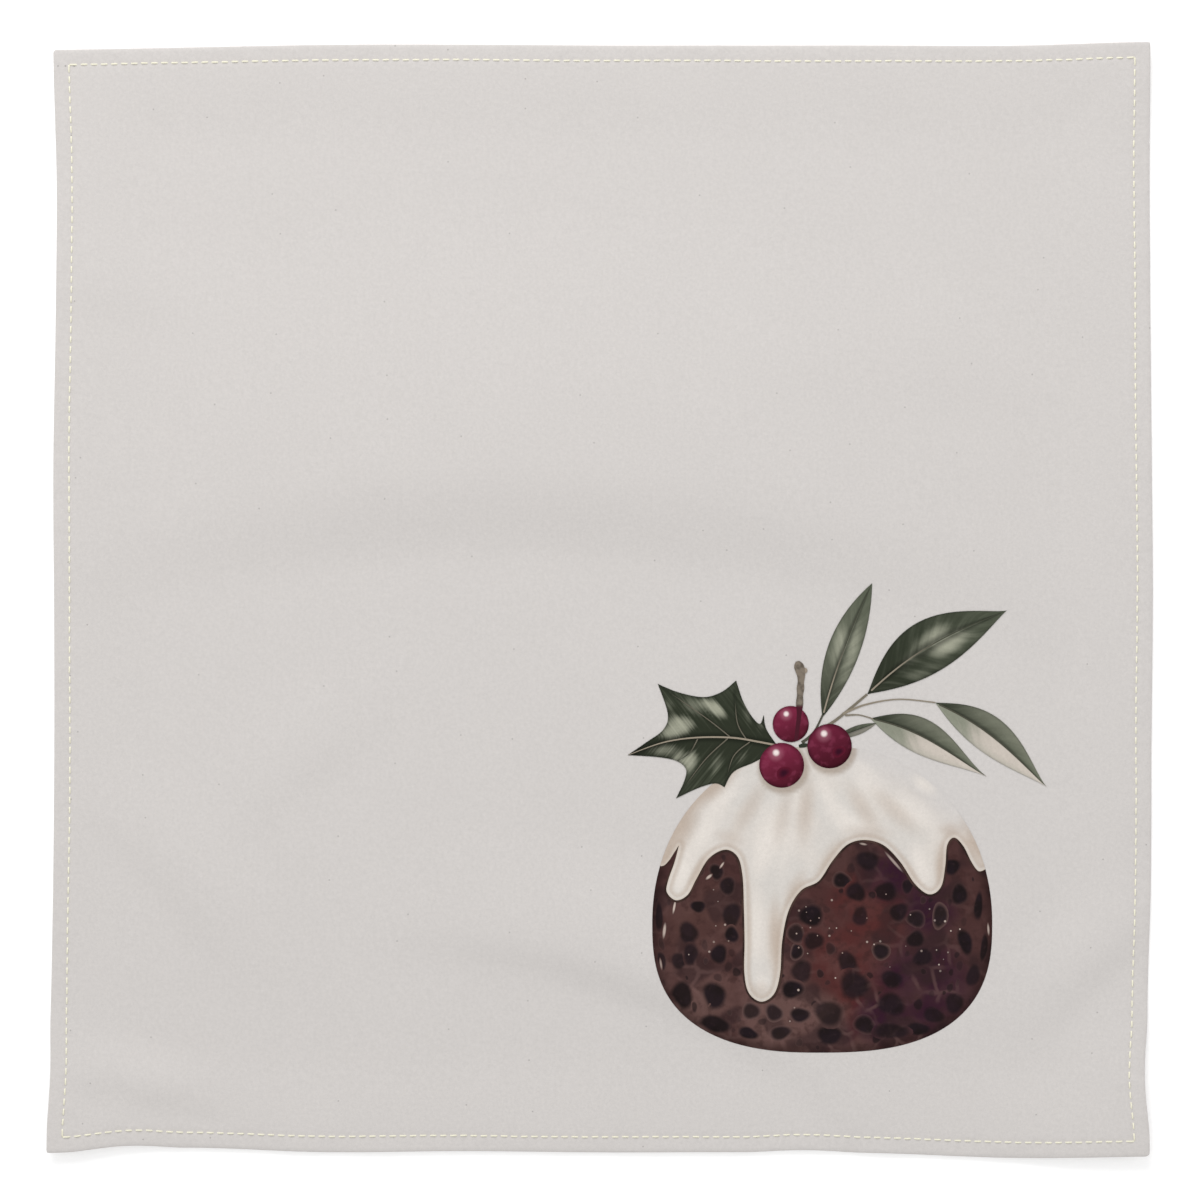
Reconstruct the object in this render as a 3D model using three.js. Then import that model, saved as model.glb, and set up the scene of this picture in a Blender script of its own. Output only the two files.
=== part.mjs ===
// A square cloth table napkin with a double-turned hem, lying face up on a flat surface.
// Millimetres, +Z up. The origin is under the middle of the napkin, on the surface it lies on.
// +X is the napkin's right and +Y its top, as its printed face is read.
import * as THREE from "three";

// Driving dimensions
const WIDTH = 508; // finished size from left to right, 20 inches
const LENGTH = 513; // finished size from bottom to top
const CLOTH = 0.6; // thickness of one layer of the cloth
const HEM_LAYERS = 3; // the hem is turned twice
const HEM_WIDTH = 8.7; // from the outer fold to the hem's inner fold
const HEM_SLOPE = 1.0; // the face drops from hem to panel over this width
const STITCH_INSET = 7.2; // from the outer fold to the line of stitching
const THREAD = 0.5; // diameter of the sewing thread
const THREAD_SIDES = 6; // flats round the thread
const CLEARANCE = 0.3; // between the thread and the cloth under it
const CORNER_INSET = 1.2; // how far a corner's soft point is drawn in
const PANEL_CELLS = 32; // faceted cells across the panel, each way

const HALF = new THREE.Vector2(WIDTH / 2, LENGTH / 2);

// How far each edge bows outwards at nine stations, from its left or lower end to its other end.
const EDGE_BOW = {
  top: [-2.0, -0.9, 0.3, 0.4, 0.0, 0.0, 0.0, -0.1, 1.5],
  bottom: [0.0, -2.2, -0.1, -0.6, 0.0, -0.1, 0.3, 2.5, 1.6],
  left: [3.2, 1.5, 0.3, -0.2, -0.1, 0.2, -0.8, -1.3, 0.3],
  right: [-0.6, -1.4, 0.3, 0.6, 1.2, 0.7, 0.1, -0.3, -0.1],
};

// Small dents in the edges: the edge, the middle and half width as shares of half the side, and the depth.
const EDGE_DENTS = [
  { edge: "bottom", middle: -0.86, width: 0.11, depth: 1.7 },
  { edge: "bottom", middle: 0.37, width: 0.11, depth: 1.0 },
  { edge: "left", middle: -0.86, width: 0.1, depth: 0.7 },
  { edge: "right", middle: -0.86, width: 0.11, depth: 1.6 },
];

// Low rolls where the cloth stands off the surface. A roll runs along its heading, counted in degrees from +X,
// through its middle, which is bowed to its left. Its left flank is long and gentle, and its right flank is steeper.
const ROLLS = [
  { name: "arch", x: -25, y: -9, heading: -2, reach: 300, bow: 70, height: 4.2, gentle: 130, steep: 45 },
  { name: "low sweep", x: 12, y: -206, heading: -22, reach: 150, bow: 34, height: 3.2, gentle: 55, steep: 20 },
  { name: "left curl", x: -200, y: -134, heading: -50, reach: 80, bow: 8, height: 2.0, gentle: 34, steep: 20 },
  { name: "left rise", x: -138, y: -78, heading: 37, reach: 80, bow: 4, height: 0.9, gentle: 34, steep: 20 },
  { name: "lower left", x: -212, y: -226, heading: -12, reach: 50, bow: 2, height: 1.6, gentle: 20, steep: 12 },
  { name: "right rise", x: 222, y: -174, heading: 47, reach: 60, bow: 4, height: 2.0, gentle: 30, steep: 18 },
  { name: "top right", x: 140, y: 108, heading: -7, reach: 95, bow: 6, height: 0.7, gentle: 50, steep: 30 },
  { name: "top left", x: -222, y: 142, heading: -14, reach: 60, bow: 3, height: 0.6, gentle: 30, steep: 20 },
];

// The corners that stand up a little: x and y give the corner, and reach is measured from it.
const CURLS = [
  { name: "lower left", x: -1, y: -1, reach: 70, height: 3.4 },
  { name: "lower right", x: 1, y: -1, reach: 85, height: 4.6 },
  { name: "upper right", x: 1, y: 1, reach: 60, height: 2.2 },
];

// A smooth hump: 1 at 0, and 0 from 1 outwards.
function hump(t) {
  const inside = Math.max(0, 1 - t * t);
  return inside * inside;
}

// An edge's bow at s, which goes from -1 at the edge's start to 1 at its end.
function bow(edge, s) {
  const stations = EDGE_BOW[edge].map((value, i) => new THREE.Vector2(i, value));
  const dents = EDGE_DENTS.filter((dent) => dent.edge === edge);
  const dented = dents.reduce((depth, dent) => depth + dent.depth * hump((s - dent.middle) / dent.width), 0);
  return new THREE.SplineCurve(stations).getPoint((s + 1) / 2).y - dented;
}

// The height of the cloth's underside over the surface, at a place on the napkin.
function lift(x, y) {
  let height = 0;
  for (const roll of ROLLS) {
    const turn = THREE.MathUtils.degToRad(roll.heading);
    const along = ((x - roll.x) * Math.cos(turn) + (y - roll.y) * Math.sin(turn)) / roll.reach;
    const left = (y - roll.y) * Math.cos(turn) - (x - roll.x) * Math.sin(turn);
    const across = left - roll.bow * (1 - along * along);
    height += roll.height * hump(along) * hump(across / (across > 0 ? roll.gentle : roll.steep));
  }
  for (const curl of CURLS) {
    const away = Math.hypot(x - curl.x * HALF.x, y - curl.y * HALF.y);
    height += curl.height * hump(away / curl.reach);
  }
  return height;
}

// Where a place on the ideal flat rectangle lies once the edges have bowed. Each edge's bow fades towards the other.
function settle(u, v) {
  const s = u / HALF.x;
  const t = v / HALF.y;
  const near = (r) => ((1 + r) / 2) ** 2;
  const x = u + bow("right", t) * near(s) - bow("left", t) * near(-s);
  const y = v + bow("top", s) * near(t) - bow("bottom", s) * near(-t);
  const corner = CORNER_INSET * hump((HALF.x - Math.abs(u)) / HEM_WIDTH) * hump((HALF.y - Math.abs(v)) / HEM_WIDTH);
  return new THREE.Vector2(x - Math.sign(u) * corner, y - Math.sign(v) * corner);
}

// The cloth's thickness at a distance in from its nearest edge: three layers in the hem, and one in the panel.
function thickness(inset) {
  return CLOTH * (inset > HEM_WIDTH + HEM_SLOPE / 2 ? 1 : HEM_LAYERS);
}

// Grid lines across half a side: the edge, both sides of the hem's inner step, and then even cells.
function gridLines(half) {
  const inner = half - HEM_WIDTH - HEM_SLOPE;
  const lines = [-half, -half + HEM_WIDTH];
  for (let i = 0; i <= PANEL_CELLS; i++) {
    lines.push(inner * ((2 * i) / PANEL_CELLS - 1));
  }
  lines.push(half - HEM_WIDTH, half);
  return lines;
}

// The cloth: a thin box of many cells, whose grid lines are spaced out, bowed at the edges and lifted at the rolls.
function makeCloth() {
  const columns = gridLines(HALF.x);
  const rows = gridLines(HALF.y);
  const cells = columns.length - 1;
  const geometry = new THREE.BoxGeometry(cells, cells, 2, cells, cells, 1);
  const places = geometry.getAttribute("position");
  for (let i = 0; i < places.count; i++) {
    const u = columns[Math.round(places.getX(i) + cells / 2)];
    const v = rows[Math.round(places.getY(i) + cells / 2)];
    const inset = Math.min(HALF.x - Math.abs(u), HALF.y - Math.abs(v));
    const place = settle(u, v);
    const top = places.getZ(i) > 0 ? thickness(inset) : 0;
    places.setXYZ(i, place.x, place.y, lift(place.x, place.y) + top);
  }
  return geometry;
}

// Where the line of stitching crosses the cloth's grid lines, in order round the napkin, from a corner back to it.
function stitchStations(inset) {
  const across = HALF.x - inset;
  const up = HALF.y - inset;
  const columns = gridLines(HALF.x).filter((u) => Math.abs(u) < across);
  const rows = gridLines(HALF.y).filter((v) => Math.abs(v) < up);
  return [
    [-across, -up],
    ...columns.map((u) => [u, -up]),
    [across, -up],
    ...rows.map((v) => [across, v]),
    [across, up],
    ...columns.toReversed().map((u) => [u, up]),
    [-across, up],
    ...rows.toReversed().map((v) => [-across, v]),
  ];
}

// The needle thread on the hem's face: a ring as thin as the thread, led round the stations of the stitching.
function makeThread() {
  const ringRadius = 100;
  const count = stitchStations(STITCH_INSET).length;
  const geometry = new THREE.TorusGeometry(ringRadius, THREAD / 2, THREAD_SIDES, count);
  const places = geometry.getAttribute("position");
  for (let i = 0; i < places.count; i++) {
    const turn = Math.atan2(places.getY(i), places.getX(i)) / (2 * Math.PI);
    const station = (Math.round(turn * count) + count) % count;
    const outwards = Math.hypot(places.getX(i), places.getY(i)) - ringRadius;
    const [u, v] = stitchStations(STITCH_INSET - outwards)[station];
    const place = settle(u, v);
    const middle = CLOTH * HEM_LAYERS + CLEARANCE + THREAD / 2;
    places.setXYZ(i, place.x, place.y, lift(place.x, place.y) + middle + places.getZ(i));
  }
  return geometry;
}

const fabric = new THREE.MeshStandardMaterial({ color: 0xd6d1cd, roughness: 0.95, metalness: 0 });
const sewing = new THREE.MeshStandardMaterial({ color: 0xf6f2d8, roughness: 0.7, metalness: 0 });

function named(name, geometry, material) {
  const mesh = new THREE.Mesh(geometry, material);
  mesh.name = name;
  return mesh;
}

const cloth = named("cloth", makeCloth(), fabric);
const thread = named("hem_thread", makeThread(), sewing);

// The bowed edges move the middle of the outline a little, so the napkin is centred on the origin.
cloth.geometry.computeBoundingBox();
const middle = cloth.geometry.boundingBox.getCenter(new THREE.Vector3());
const napkin = new THREE.Group();
napkin.add(cloth, thread);
napkin.position.set(-middle.x, -middle.y, 0);

const part = new THREE.Group();
part.add(napkin);
export default part;
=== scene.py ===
"""A square cloth napkin with a double-turned, stitched hem and a printed fruit pudding, lying face up.

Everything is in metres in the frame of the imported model: +X to the right, +Y to the napkin's top and +Z up.
The print is laid out in millimetres from the middle of the pudding's waist.
"""

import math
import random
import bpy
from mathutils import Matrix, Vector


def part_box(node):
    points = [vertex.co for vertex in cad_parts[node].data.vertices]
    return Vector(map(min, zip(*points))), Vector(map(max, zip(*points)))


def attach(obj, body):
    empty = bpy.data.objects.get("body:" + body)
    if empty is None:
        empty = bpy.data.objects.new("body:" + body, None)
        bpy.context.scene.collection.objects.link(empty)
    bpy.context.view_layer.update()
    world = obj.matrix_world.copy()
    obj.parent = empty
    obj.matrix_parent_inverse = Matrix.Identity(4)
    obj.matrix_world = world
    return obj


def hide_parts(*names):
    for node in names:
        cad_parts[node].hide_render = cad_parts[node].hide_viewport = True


bl_info = {
    "name": "Printed Cloth Napkin",
    "version": (1, 0, 0),
    "blender": (4, 5, 0),
    "location": "View3D > Sidebar > Napkin",
    "description": "Lays out a hemmed cloth napkin, sews its hem and prints an iced fruit pudding on it",
    "category": "Add Mesh",
}

import bmesh
import bpy
import numpy as np
from bpy.props import FloatProperty, FloatVectorProperty, IntProperty, PointerProperty
from bpy.types import Operator, Panel, PropertyGroup
from mathutils import Matrix, Vector, noise

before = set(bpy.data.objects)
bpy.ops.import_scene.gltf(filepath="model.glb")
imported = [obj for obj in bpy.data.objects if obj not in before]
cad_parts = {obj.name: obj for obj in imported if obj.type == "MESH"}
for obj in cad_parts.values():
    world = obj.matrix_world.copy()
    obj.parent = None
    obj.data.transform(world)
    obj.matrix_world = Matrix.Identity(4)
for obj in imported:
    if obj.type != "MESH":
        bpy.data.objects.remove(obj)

MM = 0.001
CLOTH_NODE = "cloth"
THREAD_NODE = "hem_thread"
BODY = "root"

# How far each edge bows outwards at nine stations, in mm, from its left or lower end to its other end.
EDGE_BOW = {
    "top": (-2.0, -0.9, 0.3, 0.4, 0.0, 0.0, 0.0, -0.1, 1.5),
    "bottom": (0.0, -2.2, -0.1, -0.6, 0.0, -0.1, 0.3, 2.5, 1.6),
    "left": (3.2, 1.5, 0.3, -0.2, -0.1, 0.2, -0.8, -1.3, 0.3),
    "right": (-0.6, -1.4, 0.3, 0.6, 1.2, 0.7, 0.1, -0.3, -0.1),
}

# Small dents in the edges: the edge, the middle and half width as shares of half the side, and the depth
# in mm.
EDGE_DENTS = (
    ("bottom", -0.86, 0.11, 1.7),
    ("bottom", 0.37, 0.11, 1.0),
    ("left", -0.86, 0.1, 0.7),
    ("right", -0.86, 0.11, 1.6),
)

# Low rolls where the cloth stands off the table, in mm and degrees: the middle, the heading, the reach along
# it, the bow to its left, the height, and the widths of its gentle left flank and its steep right flank.
ROLLS = (
    (-25, -9, -2, 300, 70, 4.2, 130, 45),
    (12, -206, -22, 150, 34, 3.2, 55, 20),
    (-200, -134, -50, 80, 8, 2.0, 34, 20),
    (-138, -78, 37, 80, 4, 0.9, 34, 20),
    (-212, -226, -12, 50, 2, 1.6, 20, 12),
    (222, -174, 47, 60, 4, 2.0, 30, 18),
    (140, 108, -7, 95, 6, 0.7, 50, 30),
    (-222, 142, -14, 60, 3, 0.6, 30, 20),
)

# The corners that stand up a little: the corner's side in x and y, the reach from it and the height, in mm.
CURLS = ((-1, -1, 70, 3.4), (1, -1, 85, 4.6), (1, 1, 60, 2.2))

# How round each corner is, in mm: (side in x, side in y).
CORNER_ROUND = {(-1, 1): 1.4, (1, 1): 1.0, (-1, -1): 0.7, (1, -1): 2.2}

# Needle marks where the sewing began, on the hem's face, in mm.
NEEDLE_MARKS = ((-251.1, 247.4, 1.5), (-247.6, 247.4, 1.5), (-243.6, 247.5, 1.5))


# ------------------------------------------------ sizes and colours that a user would change


class NapkinCloth(PropertyGroup):
    """The cloth, its hem and its sewing."""

    width: FloatProperty(
        name="Width", description="Finished size from left to right", default=0.508, unit="LENGTH"
    )
    length: FloatProperty(
        name="Length", description="Finished size from bottom to top", default=0.513, unit="LENGTH"
    )
    thickness: FloatProperty(
        name="Thickness", description="Thickness of one layer of cloth", default=0.0004, unit="LENGTH"
    )
    hem: FloatProperty(name="Hem", description="Width of the turned hem", default=0.0087, unit="LENGTH")
    turned_in: FloatProperty(
        name="Turned In", description="Width of the hem's hidden second turn",
        default=0.0078, unit="LENGTH",
    )
    stitch_inset: FloatProperty(
        name="Stitch Inset", description="From the outer fold to the line of stitching",
        default=0.0072, unit="LENGTH",
    )
    stitch_pitch: FloatProperty(
        name="Stitch Pitch", description="From one needle hole to the next",
        default=0.00464, unit="LENGTH",
    )
    thread: FloatProperty(
        name="Thread", description="Diameter of the thread", default=0.00078, unit="LENGTH"
    )
    yarn: FloatProperty(
        name="Yarn", description="From one yarn of the weave to the next", default=0.00052, unit="LENGTH"
    )
    colour: FloatVectorProperty(
        name="Cloth Colour", description="Colour of the undyed cloth",
        default=(0.603, 0.575, 0.556), subtype="COLOR",
    )
    thread_colour: FloatVectorProperty(
        name="Thread Colour", description="Colour of the thread",
        default=(0.90, 0.87, 0.70), subtype="COLOR",
    )


class NapkinPrint(PropertyGroup):
    """The printed pudding."""

    place: FloatVectorProperty(
        name="Place", description="Where the middle of the pudding's waist is", size=2,
        default=(0.103, -0.150),
        subtype="XYZ", unit="LENGTH",
    )
    waist: FloatProperty(
        name="Waist", description="Half the pudding's width", default=0.0788, unit="LENGTH"
    )
    dome: FloatProperty(
        name="Dome", description="From the waist up to the top", default=0.0825, unit="LENGTH"
    )
    base: FloatProperty(
        name="Base", description="From the waist down to the base", default=0.0597, unit="LENGTH"
    )
    film: FloatProperty(
        name="Film", description="Thickness of one film of dye", default=0.000012, unit="LENGTH"
    )
    fruits: IntProperty(name="Fruits", description="Small fruits between the large ones", default=60)
    seed: IntProperty(name="Seed", description="Changes how the fruits fall", default=7)
    sponge: FloatVectorProperty(
        name="Sponge", description="Dye of the pudding", default=(0.0625, 0.0275, 0.026), subtype="COLOR"
    )
    fruit: FloatVectorProperty(
        name="Fruit", description="Dye of the dark fruits",
        default=(0.0105, 0.0068, 0.0074), subtype="COLOR",
    )
    icing: FloatVectorProperty(
        name="Icing", description="Dye of the icing", default=(0.665, 0.62, 0.575), subtype="COLOR"
    )
    berry: FloatVectorProperty(
        name="Berry", description="Dye of the berries", default=(0.155, 0.0125, 0.034), subtype="COLOR"
    )
    leaf: FloatVectorProperty(
        name="Leaf", description="Dye of the leaves", default=(0.040, 0.049, 0.033), subtype="COLOR"
    )
    twig: FloatVectorProperty(
        name="Twig", description="Dye of the twig and stems",
        default=(0.205, 0.170, 0.134), subtype="COLOR",
    )


class NapkinStage(PropertyGroup):
    """The floor, the light and the camera."""

    view: FloatProperty(
        name="View", description="Width that the camera takes in", default=0.5563, unit="LENGTH"
    )
    lens: FloatProperty(name="Lens", description="Focal length of the camera", default=180, unit="CAMERA")
    sky: FloatProperty(name="Sky", description="Brightness of the even light all round", default=0.82)
    lamp: FloatProperty(
        name="Lamp", description="Power of the soft lamp at the top", default=33.0, unit="POWER"
    )
    glow: FloatProperty(
        name="Glow", description="Brightness of the lit floor under the napkin", default=0.2
    )


# ------------------------------------------------ how the napkin lies


def hump(t):
    """A smooth hump: 1 at 0, and 0 from 1 outwards."""
    return max(0.0, 1 - t * t) ** 2


def clamp(value, low=0.0, high=1.0):
    return min(max(value, low), high)


def through(stops, at):
    """A smooth line through stops, which are numbers or vectors, at a count from 0 at the first one."""
    i = clamp(int(at), 0, len(stops) - 2)
    t = at - i
    before, here, there, after = (stops[clamp(j, 0, len(stops) - 1)] for j in range(i - 1, i + 3))
    slope, next_slope = (there - before) / 2, (after - here) / 2
    cubic = ((here - there) * 2 + slope + next_slope) * t**3
    square = ((there - here) * 3 - slope * 2 - next_slope) * t**2
    return cubic + square + slope * t + here


def bow(edge, s):
    """The bow of an edge in metres at s, which goes from -1 at the edge's start to 1 at its end."""
    stations = EDGE_BOW[edge]
    dents = [dent[1:] for dent in EDGE_DENTS if dent[0] == edge]
    dented = sum(depth * hump((s - middle) / wide) for middle, wide, depth in dents)
    return (through(stations, clamp((s + 1) / 2) * (len(stations) - 1)) - dented) * MM


class Lie:
    """How the flat napkin lies: where a place on the ideal rectangle comes to, and how high it is."""

    STRAY = 0.35 * MM  # how far the line of stitching wanders at most
    DIMPLE = 0.24 * MM  # how deep the stitching pulls the face in
    DIMPLE_WIDTH = 1.1 * MM
    SLACK = 2.4  # the hem's slackness ends this many hem widths inside the edge

    def __init__(self, cloth):
        self.half = Vector((cloth.width / 2, cloth.length / 2))
        self.stitch_inset = cloth.stitch_inset
        self.stitches = [round(2 * (h - cloth.stitch_inset) / cloth.stitch_pitch) for h in self.half]
        self.hem = cloth.hem
        self.thread = cloth.thread
        self.middle = Vector((0, 0))
        rim = [self.settle(i / 50 * self.half.x, j / 50 * self.half.y)
               for i in range(-50, 51) for j in range(-50, 51) if 50 in (abs(i), abs(j))]
        low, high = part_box(CLOTH_NODE)
        for axis in (0, 1):
            line = [place[axis] for place in rim]
            self.middle[axis] = (min(line) + max(line)) / 2 - (low[axis] + high[axis]) / 2

    def settle(self, u, v):
        """Where a place on the ideal rectangle lies once the edges have bowed and the corners are round."""
        u, v = self.round_off(u, v)
        s, t = u / self.half.x, v / self.half.y
        right, left = ((1 + s) / 2) ** 2, ((1 - s) / 2) ** 2
        top, bottom = ((1 + t) / 2) ** 2, ((1 - t) / 2) ** 2
        x = u + bow("right", t) * right - bow("left", t) * left
        y = v + bow("top", s) * top - bow("bottom", s) * bottom
        return Vector((x, y)) - self.middle

    def round_off(self, u, v):
        """Draws a place near a corner in, so that square rings about the corner's arc become round ones."""
        sides = (1 if u > 0 else -1, 1 if v > 0 else -1)
        radius = CORNER_ROUND[sides] * MM
        p = Vector((radius - self.half.x + abs(u), radius - self.half.y + abs(v)))
        if min(p) <= 0:
            return u, v
        p *= max(p) / p.length
        return sides[0] * (self.half.x - radius + p.x), sides[1] * (self.half.y - radius + p.y)

    def lift(self, x, y):
        """The height of the cloth's underside, in metres, at a place on the table."""
        x, y = (x + self.middle.x) / MM, (y + self.middle.y) / MM
        height = 0
        for mid_x, mid_y, heading, reach, sideways, rise, gentle, steep in ROLLS:
            turn = math.radians(heading)
            along = ((x - mid_x) * math.cos(turn) + (y - mid_y) * math.sin(turn)) / reach
            left = (y - mid_y) * math.cos(turn) - (x - mid_x) * math.sin(turn)
            across = left - sideways * (1 - along * along)
            height += rise * hump(along) * hump(across / (gentle if across > 0 else steep))
        for side_x, side_y, reach, rise in CURLS:
            away = math.hypot(x - side_x * self.half.x / MM, y - side_y * self.half.y / MM)
            height += rise * hump(away / reach)
        return height * MM

    def side_of(self, u, v):
        """The nearest side of a place: the inset from it, the stitches along it up to there, and in all."""
        inset = Vector((self.half.x - abs(u), self.half.y - abs(v)))
        across = 0 if inset.x < inset.y else 1
        along = 1 - across
        half = self.half[along] - inset[across]
        return inset[across], ((u, v)[along] / half + 1) / 2 * self.stitches[along], self.stitches[along]

    def wander(self, along, count):
        """How far the line of stitching strays from its inset, where it crosses the stitch number along."""
        ends = clamp(min(along, count - along) / 6)
        return self.STRAY * noise.noise(Vector((along / 13, count * 1.7, 0))) * ends

    def pucker(self, u, v, face):
        """How far the stitching and the slack hem move the cloth up. face is 1 at the face, 0 at the back."""
        inset, along, count = self.side_of(u, v)
        off = (inset - self.stitch_inset - self.wander(along, count)) / self.DIMPLE_WIDTH
        hole = 0.62 + 0.38 * math.cos(math.tau * along)
        dimple = self.DIMPLE * math.exp(-off * off) * hole
        slack = max(0, 1 - inset / (self.SLACK * self.hem)) ** 2
        place = Vector((u, v, 0)) / MM
        wave = 0.16 * noise.noise(place / 5.5) + 0.34 * noise.noise(place / 21 + Vector((7, 3, 0)))
        on_thread = 0.6 * self.thread * hump(max(0, inset / self.hem - 1.1) / 4)
        return on_thread + slack * (wave + 0.24) * MM - dimple * (face - 0.35 * (1 - face))

    def under(self, u, v, height):
        """The place in the frame of a point under the hem, at a height over the table."""
        flat = self.settle(u, v)
        return Vector((flat.x, flat.y, self.lift(*flat) + max(0, height)))

    def place(self, u, v, height, face=1.0):
        """The place in the frame of a point of the flat napkin at a height over its underside."""
        flat = self.settle(u, v)
        return Vector((flat.x, flat.y, self.lift(*flat) + max(0, height + self.pucker(u, v, face))))


# ------------------------------------------------ meshes and pieces


def only(geometry, kind):
    return [g for g in geometry if isinstance(g, kind)]


def extruded(bm, edges):
    """Extrudes a row of edges, and returns the new vertices and the new edges."""
    made = bmesh.ops.extrude_edge_only(bm, edges=edges)["geom"]
    return only(made, bmesh.types.BMVert), only(made, bmesh.types.BMEdge)


def cut_across(bm, axis, at, near):
    """Cuts across an axis, at a place along it. Vertices near the cut are moved into it."""
    across = Vector([float(i == axis) for i in range(3)])
    everything = bm.verts[:] + bm.edges[:] + bm.faces[:]
    bmesh.ops.bisect_plane(bm, geom=everything, plane_co=across * at, plane_no=across, dist=near)


def finished(name, bm, material):
    """Makes a bmesh into a named piece that rides with the napkin."""
    mesh = bpy.data.meshes.new(name)
    bm.to_mesh(mesh)
    bm.free()
    mesh.polygons.foreach_set("use_smooth", [True] * len(mesh.polygons))
    mesh.materials.append(material)
    piece = bpy.data.objects.new(name, mesh)
    bpy.context.scene.collection.objects.link(piece)
    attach(piece, BODY)
    return piece


# ------------------------------------------------ finishes


def tinted(colour, *shares):
    """A colour with each of its parts times its own share, or all of them times one share."""
    return tuple(c * share for c, share in zip(colour, shares * 3 if len(shares) == 1 else shares))


class Finish:
    """A material in the making: its shader, and short calls for the nodes that feed it."""

    def __init__(self, name, colour, roughness=0.9, sheen=0.0, specular=0.25):
        self.material = bpy.data.materials.new(name)
        self.material.use_nodes = True
        self.nodes = self.material.node_tree.nodes
        self.links = self.material.node_tree.links
        self.shader = self.nodes["Principled BSDF"]
        self.set(self.shader, "Base Color", (*colour, 1))
        self.set(self.shader, "Roughness", roughness)
        self.set(self.shader, "Specular IOR Level", specular)
        self.set(self.shader, "Sheen Weight", sheen)
        self.set(self.shader, "Sheen Roughness", 0.6)

    def set(self, node, socket, value):
        """Feeds a socket with a value or another node's output."""
        target = node.inputs[socket]
        if isinstance(value, bpy.types.NodeSocket):
            self.links.new(value, target)
        else:
            target.default_value = value

    def add(self, kind, inputs=None, **settings):
        node = self.nodes.new("ShaderNode" + kind)
        for key, value in settings.items():
            setattr(node, key, value)
        for socket, value in (inputs or {}).items():
            self.set(node, socket, value)
        return node

    def vector(self, operation, a, b):
        return self.add("VectorMath", {0: a, 1: b}, operation=operation).outputs[0]

    def away(self, place, spot):
        """The distance of a place from a spot."""
        return self.add("VectorMath", {0: place, 1: spot}, operation="DISTANCE").outputs["Value"]

    def where(self, scale=1.0):
        """Object coordinates times a scale."""
        return self.vector("MULTIPLY", self.add("TexCoord").outputs["Object"], (scale,) * 3)

    def split(self, vector):
        parts = self.add("SeparateXYZ", {0: vector}).outputs
        return parts[0], parts[1], parts[2]

    def math(self, operation, *values):
        return self.add("Math", dict(enumerate(values)), operation=operation).outputs[0]

    def times(self, *values):
        """The product of some values."""
        product = values[0]
        for value in values[1:]:
            product = self.math("MULTIPLY", product, value)
        return product

    def plus(self, value, share, rest):
        """A value times a share, plus the rest."""
        return self.math("MULTIPLY_ADD", value, share, rest)

    def fade(self, value, low, high):
        """0 to 1 as a value goes from low to high."""
        inputs = {0: value, 1: low, 2: high, 3: 0.0, 4: 1.0}
        return self.add("MapRange", inputs, interpolation_type="SMOOTHSTEP").outputs[0]

    def attribute(self, name):
        return self.add("Attribute", attribute_name=name).outputs["Fac"]

    def noise(self, vector, scale, detail):
        return self.add("TexNoise", {"Vector": vector, "Scale": scale, "Detail": detail}).outputs["Fac"]

    def streaks(self, across, along, scale):
        """Noise by two values of a leaf's own, which draw it out into streaks."""
        return self.noise(self.add("CombineXYZ", {0: across, 1: along}).outputs[0], scale, 2)

    def mix(self, factor, a, b, blend="MIX"):
        node = self.add("Mix", {0: factor}, data_type="RGBA", blend_type=blend)
        for socket, value in ((6, a), (7, b)):
            self.set(node, socket, value if isinstance(value, bpy.types.NodeSocket) else (*value, 1))
        return node.outputs[2]

    def over(self, colour, coat, *shares):
        """A colour under a coat that covers it by the product of the shares."""
        return self.mix(self.times(*shares), colour, coat)

    def dim(self, colour, *shares):
        """A colour, darker by the product of the shares."""
        return self.over(colour, (0.0, 0.0, 0.0), *shares)


def woven(f, colour):
    """Puts a colour on the finish, shaded and raised by the weave, which all the dyes share."""
    drift = f.add("TexNoise", {"Vector": f.where(), "Scale": 90.0}).outputs["Color"]
    drawn = f.vector("ADD", f.where(), f.vector("MULTIPLY", drift, (1.6 * MM,) * 3))
    scale = math.pi / bpy.context.scene.napkin_cloth.yarn
    x, y, _ = f.split(f.vector("MULTIPLY", drawn, (scale,) * 3))
    warp, weft = f.math("SINE", x), f.math("SINE", y)
    over = f.math("GREATER_THAN", f.times(warp, weft), 0.0)
    threads = {0: over, 2: f.math("ABSOLUTE", warp), 3: f.math("ABSOLUTE", weft)}
    yarns = f.add("Mix", threads, data_type="FLOAT")
    slub, strand = f.noise(f.where(), 700, 2), f.noise(f.where(), 2400, 1)
    height = f.plus(yarns.outputs[0], 0.4, f.plus(slub, 0.5, f.times(strand, 0.5)))
    shade = f.add("MapRange", {0: height, 1: 0.35, 2: 1.15, 3: 0.87, 4: 1.13}).outputs[0]
    bump = f.add("Bump", {"Strength": 0.35, "Distance": 0.12 * MM, "Height": height})
    f.set(f.shader, "Normal", bump.outputs["Normal"])
    f.set(f.shader, "Base Color", f.mix(1.0, colour, shade, blend="MULTIPLY"))
    return f.material


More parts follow.
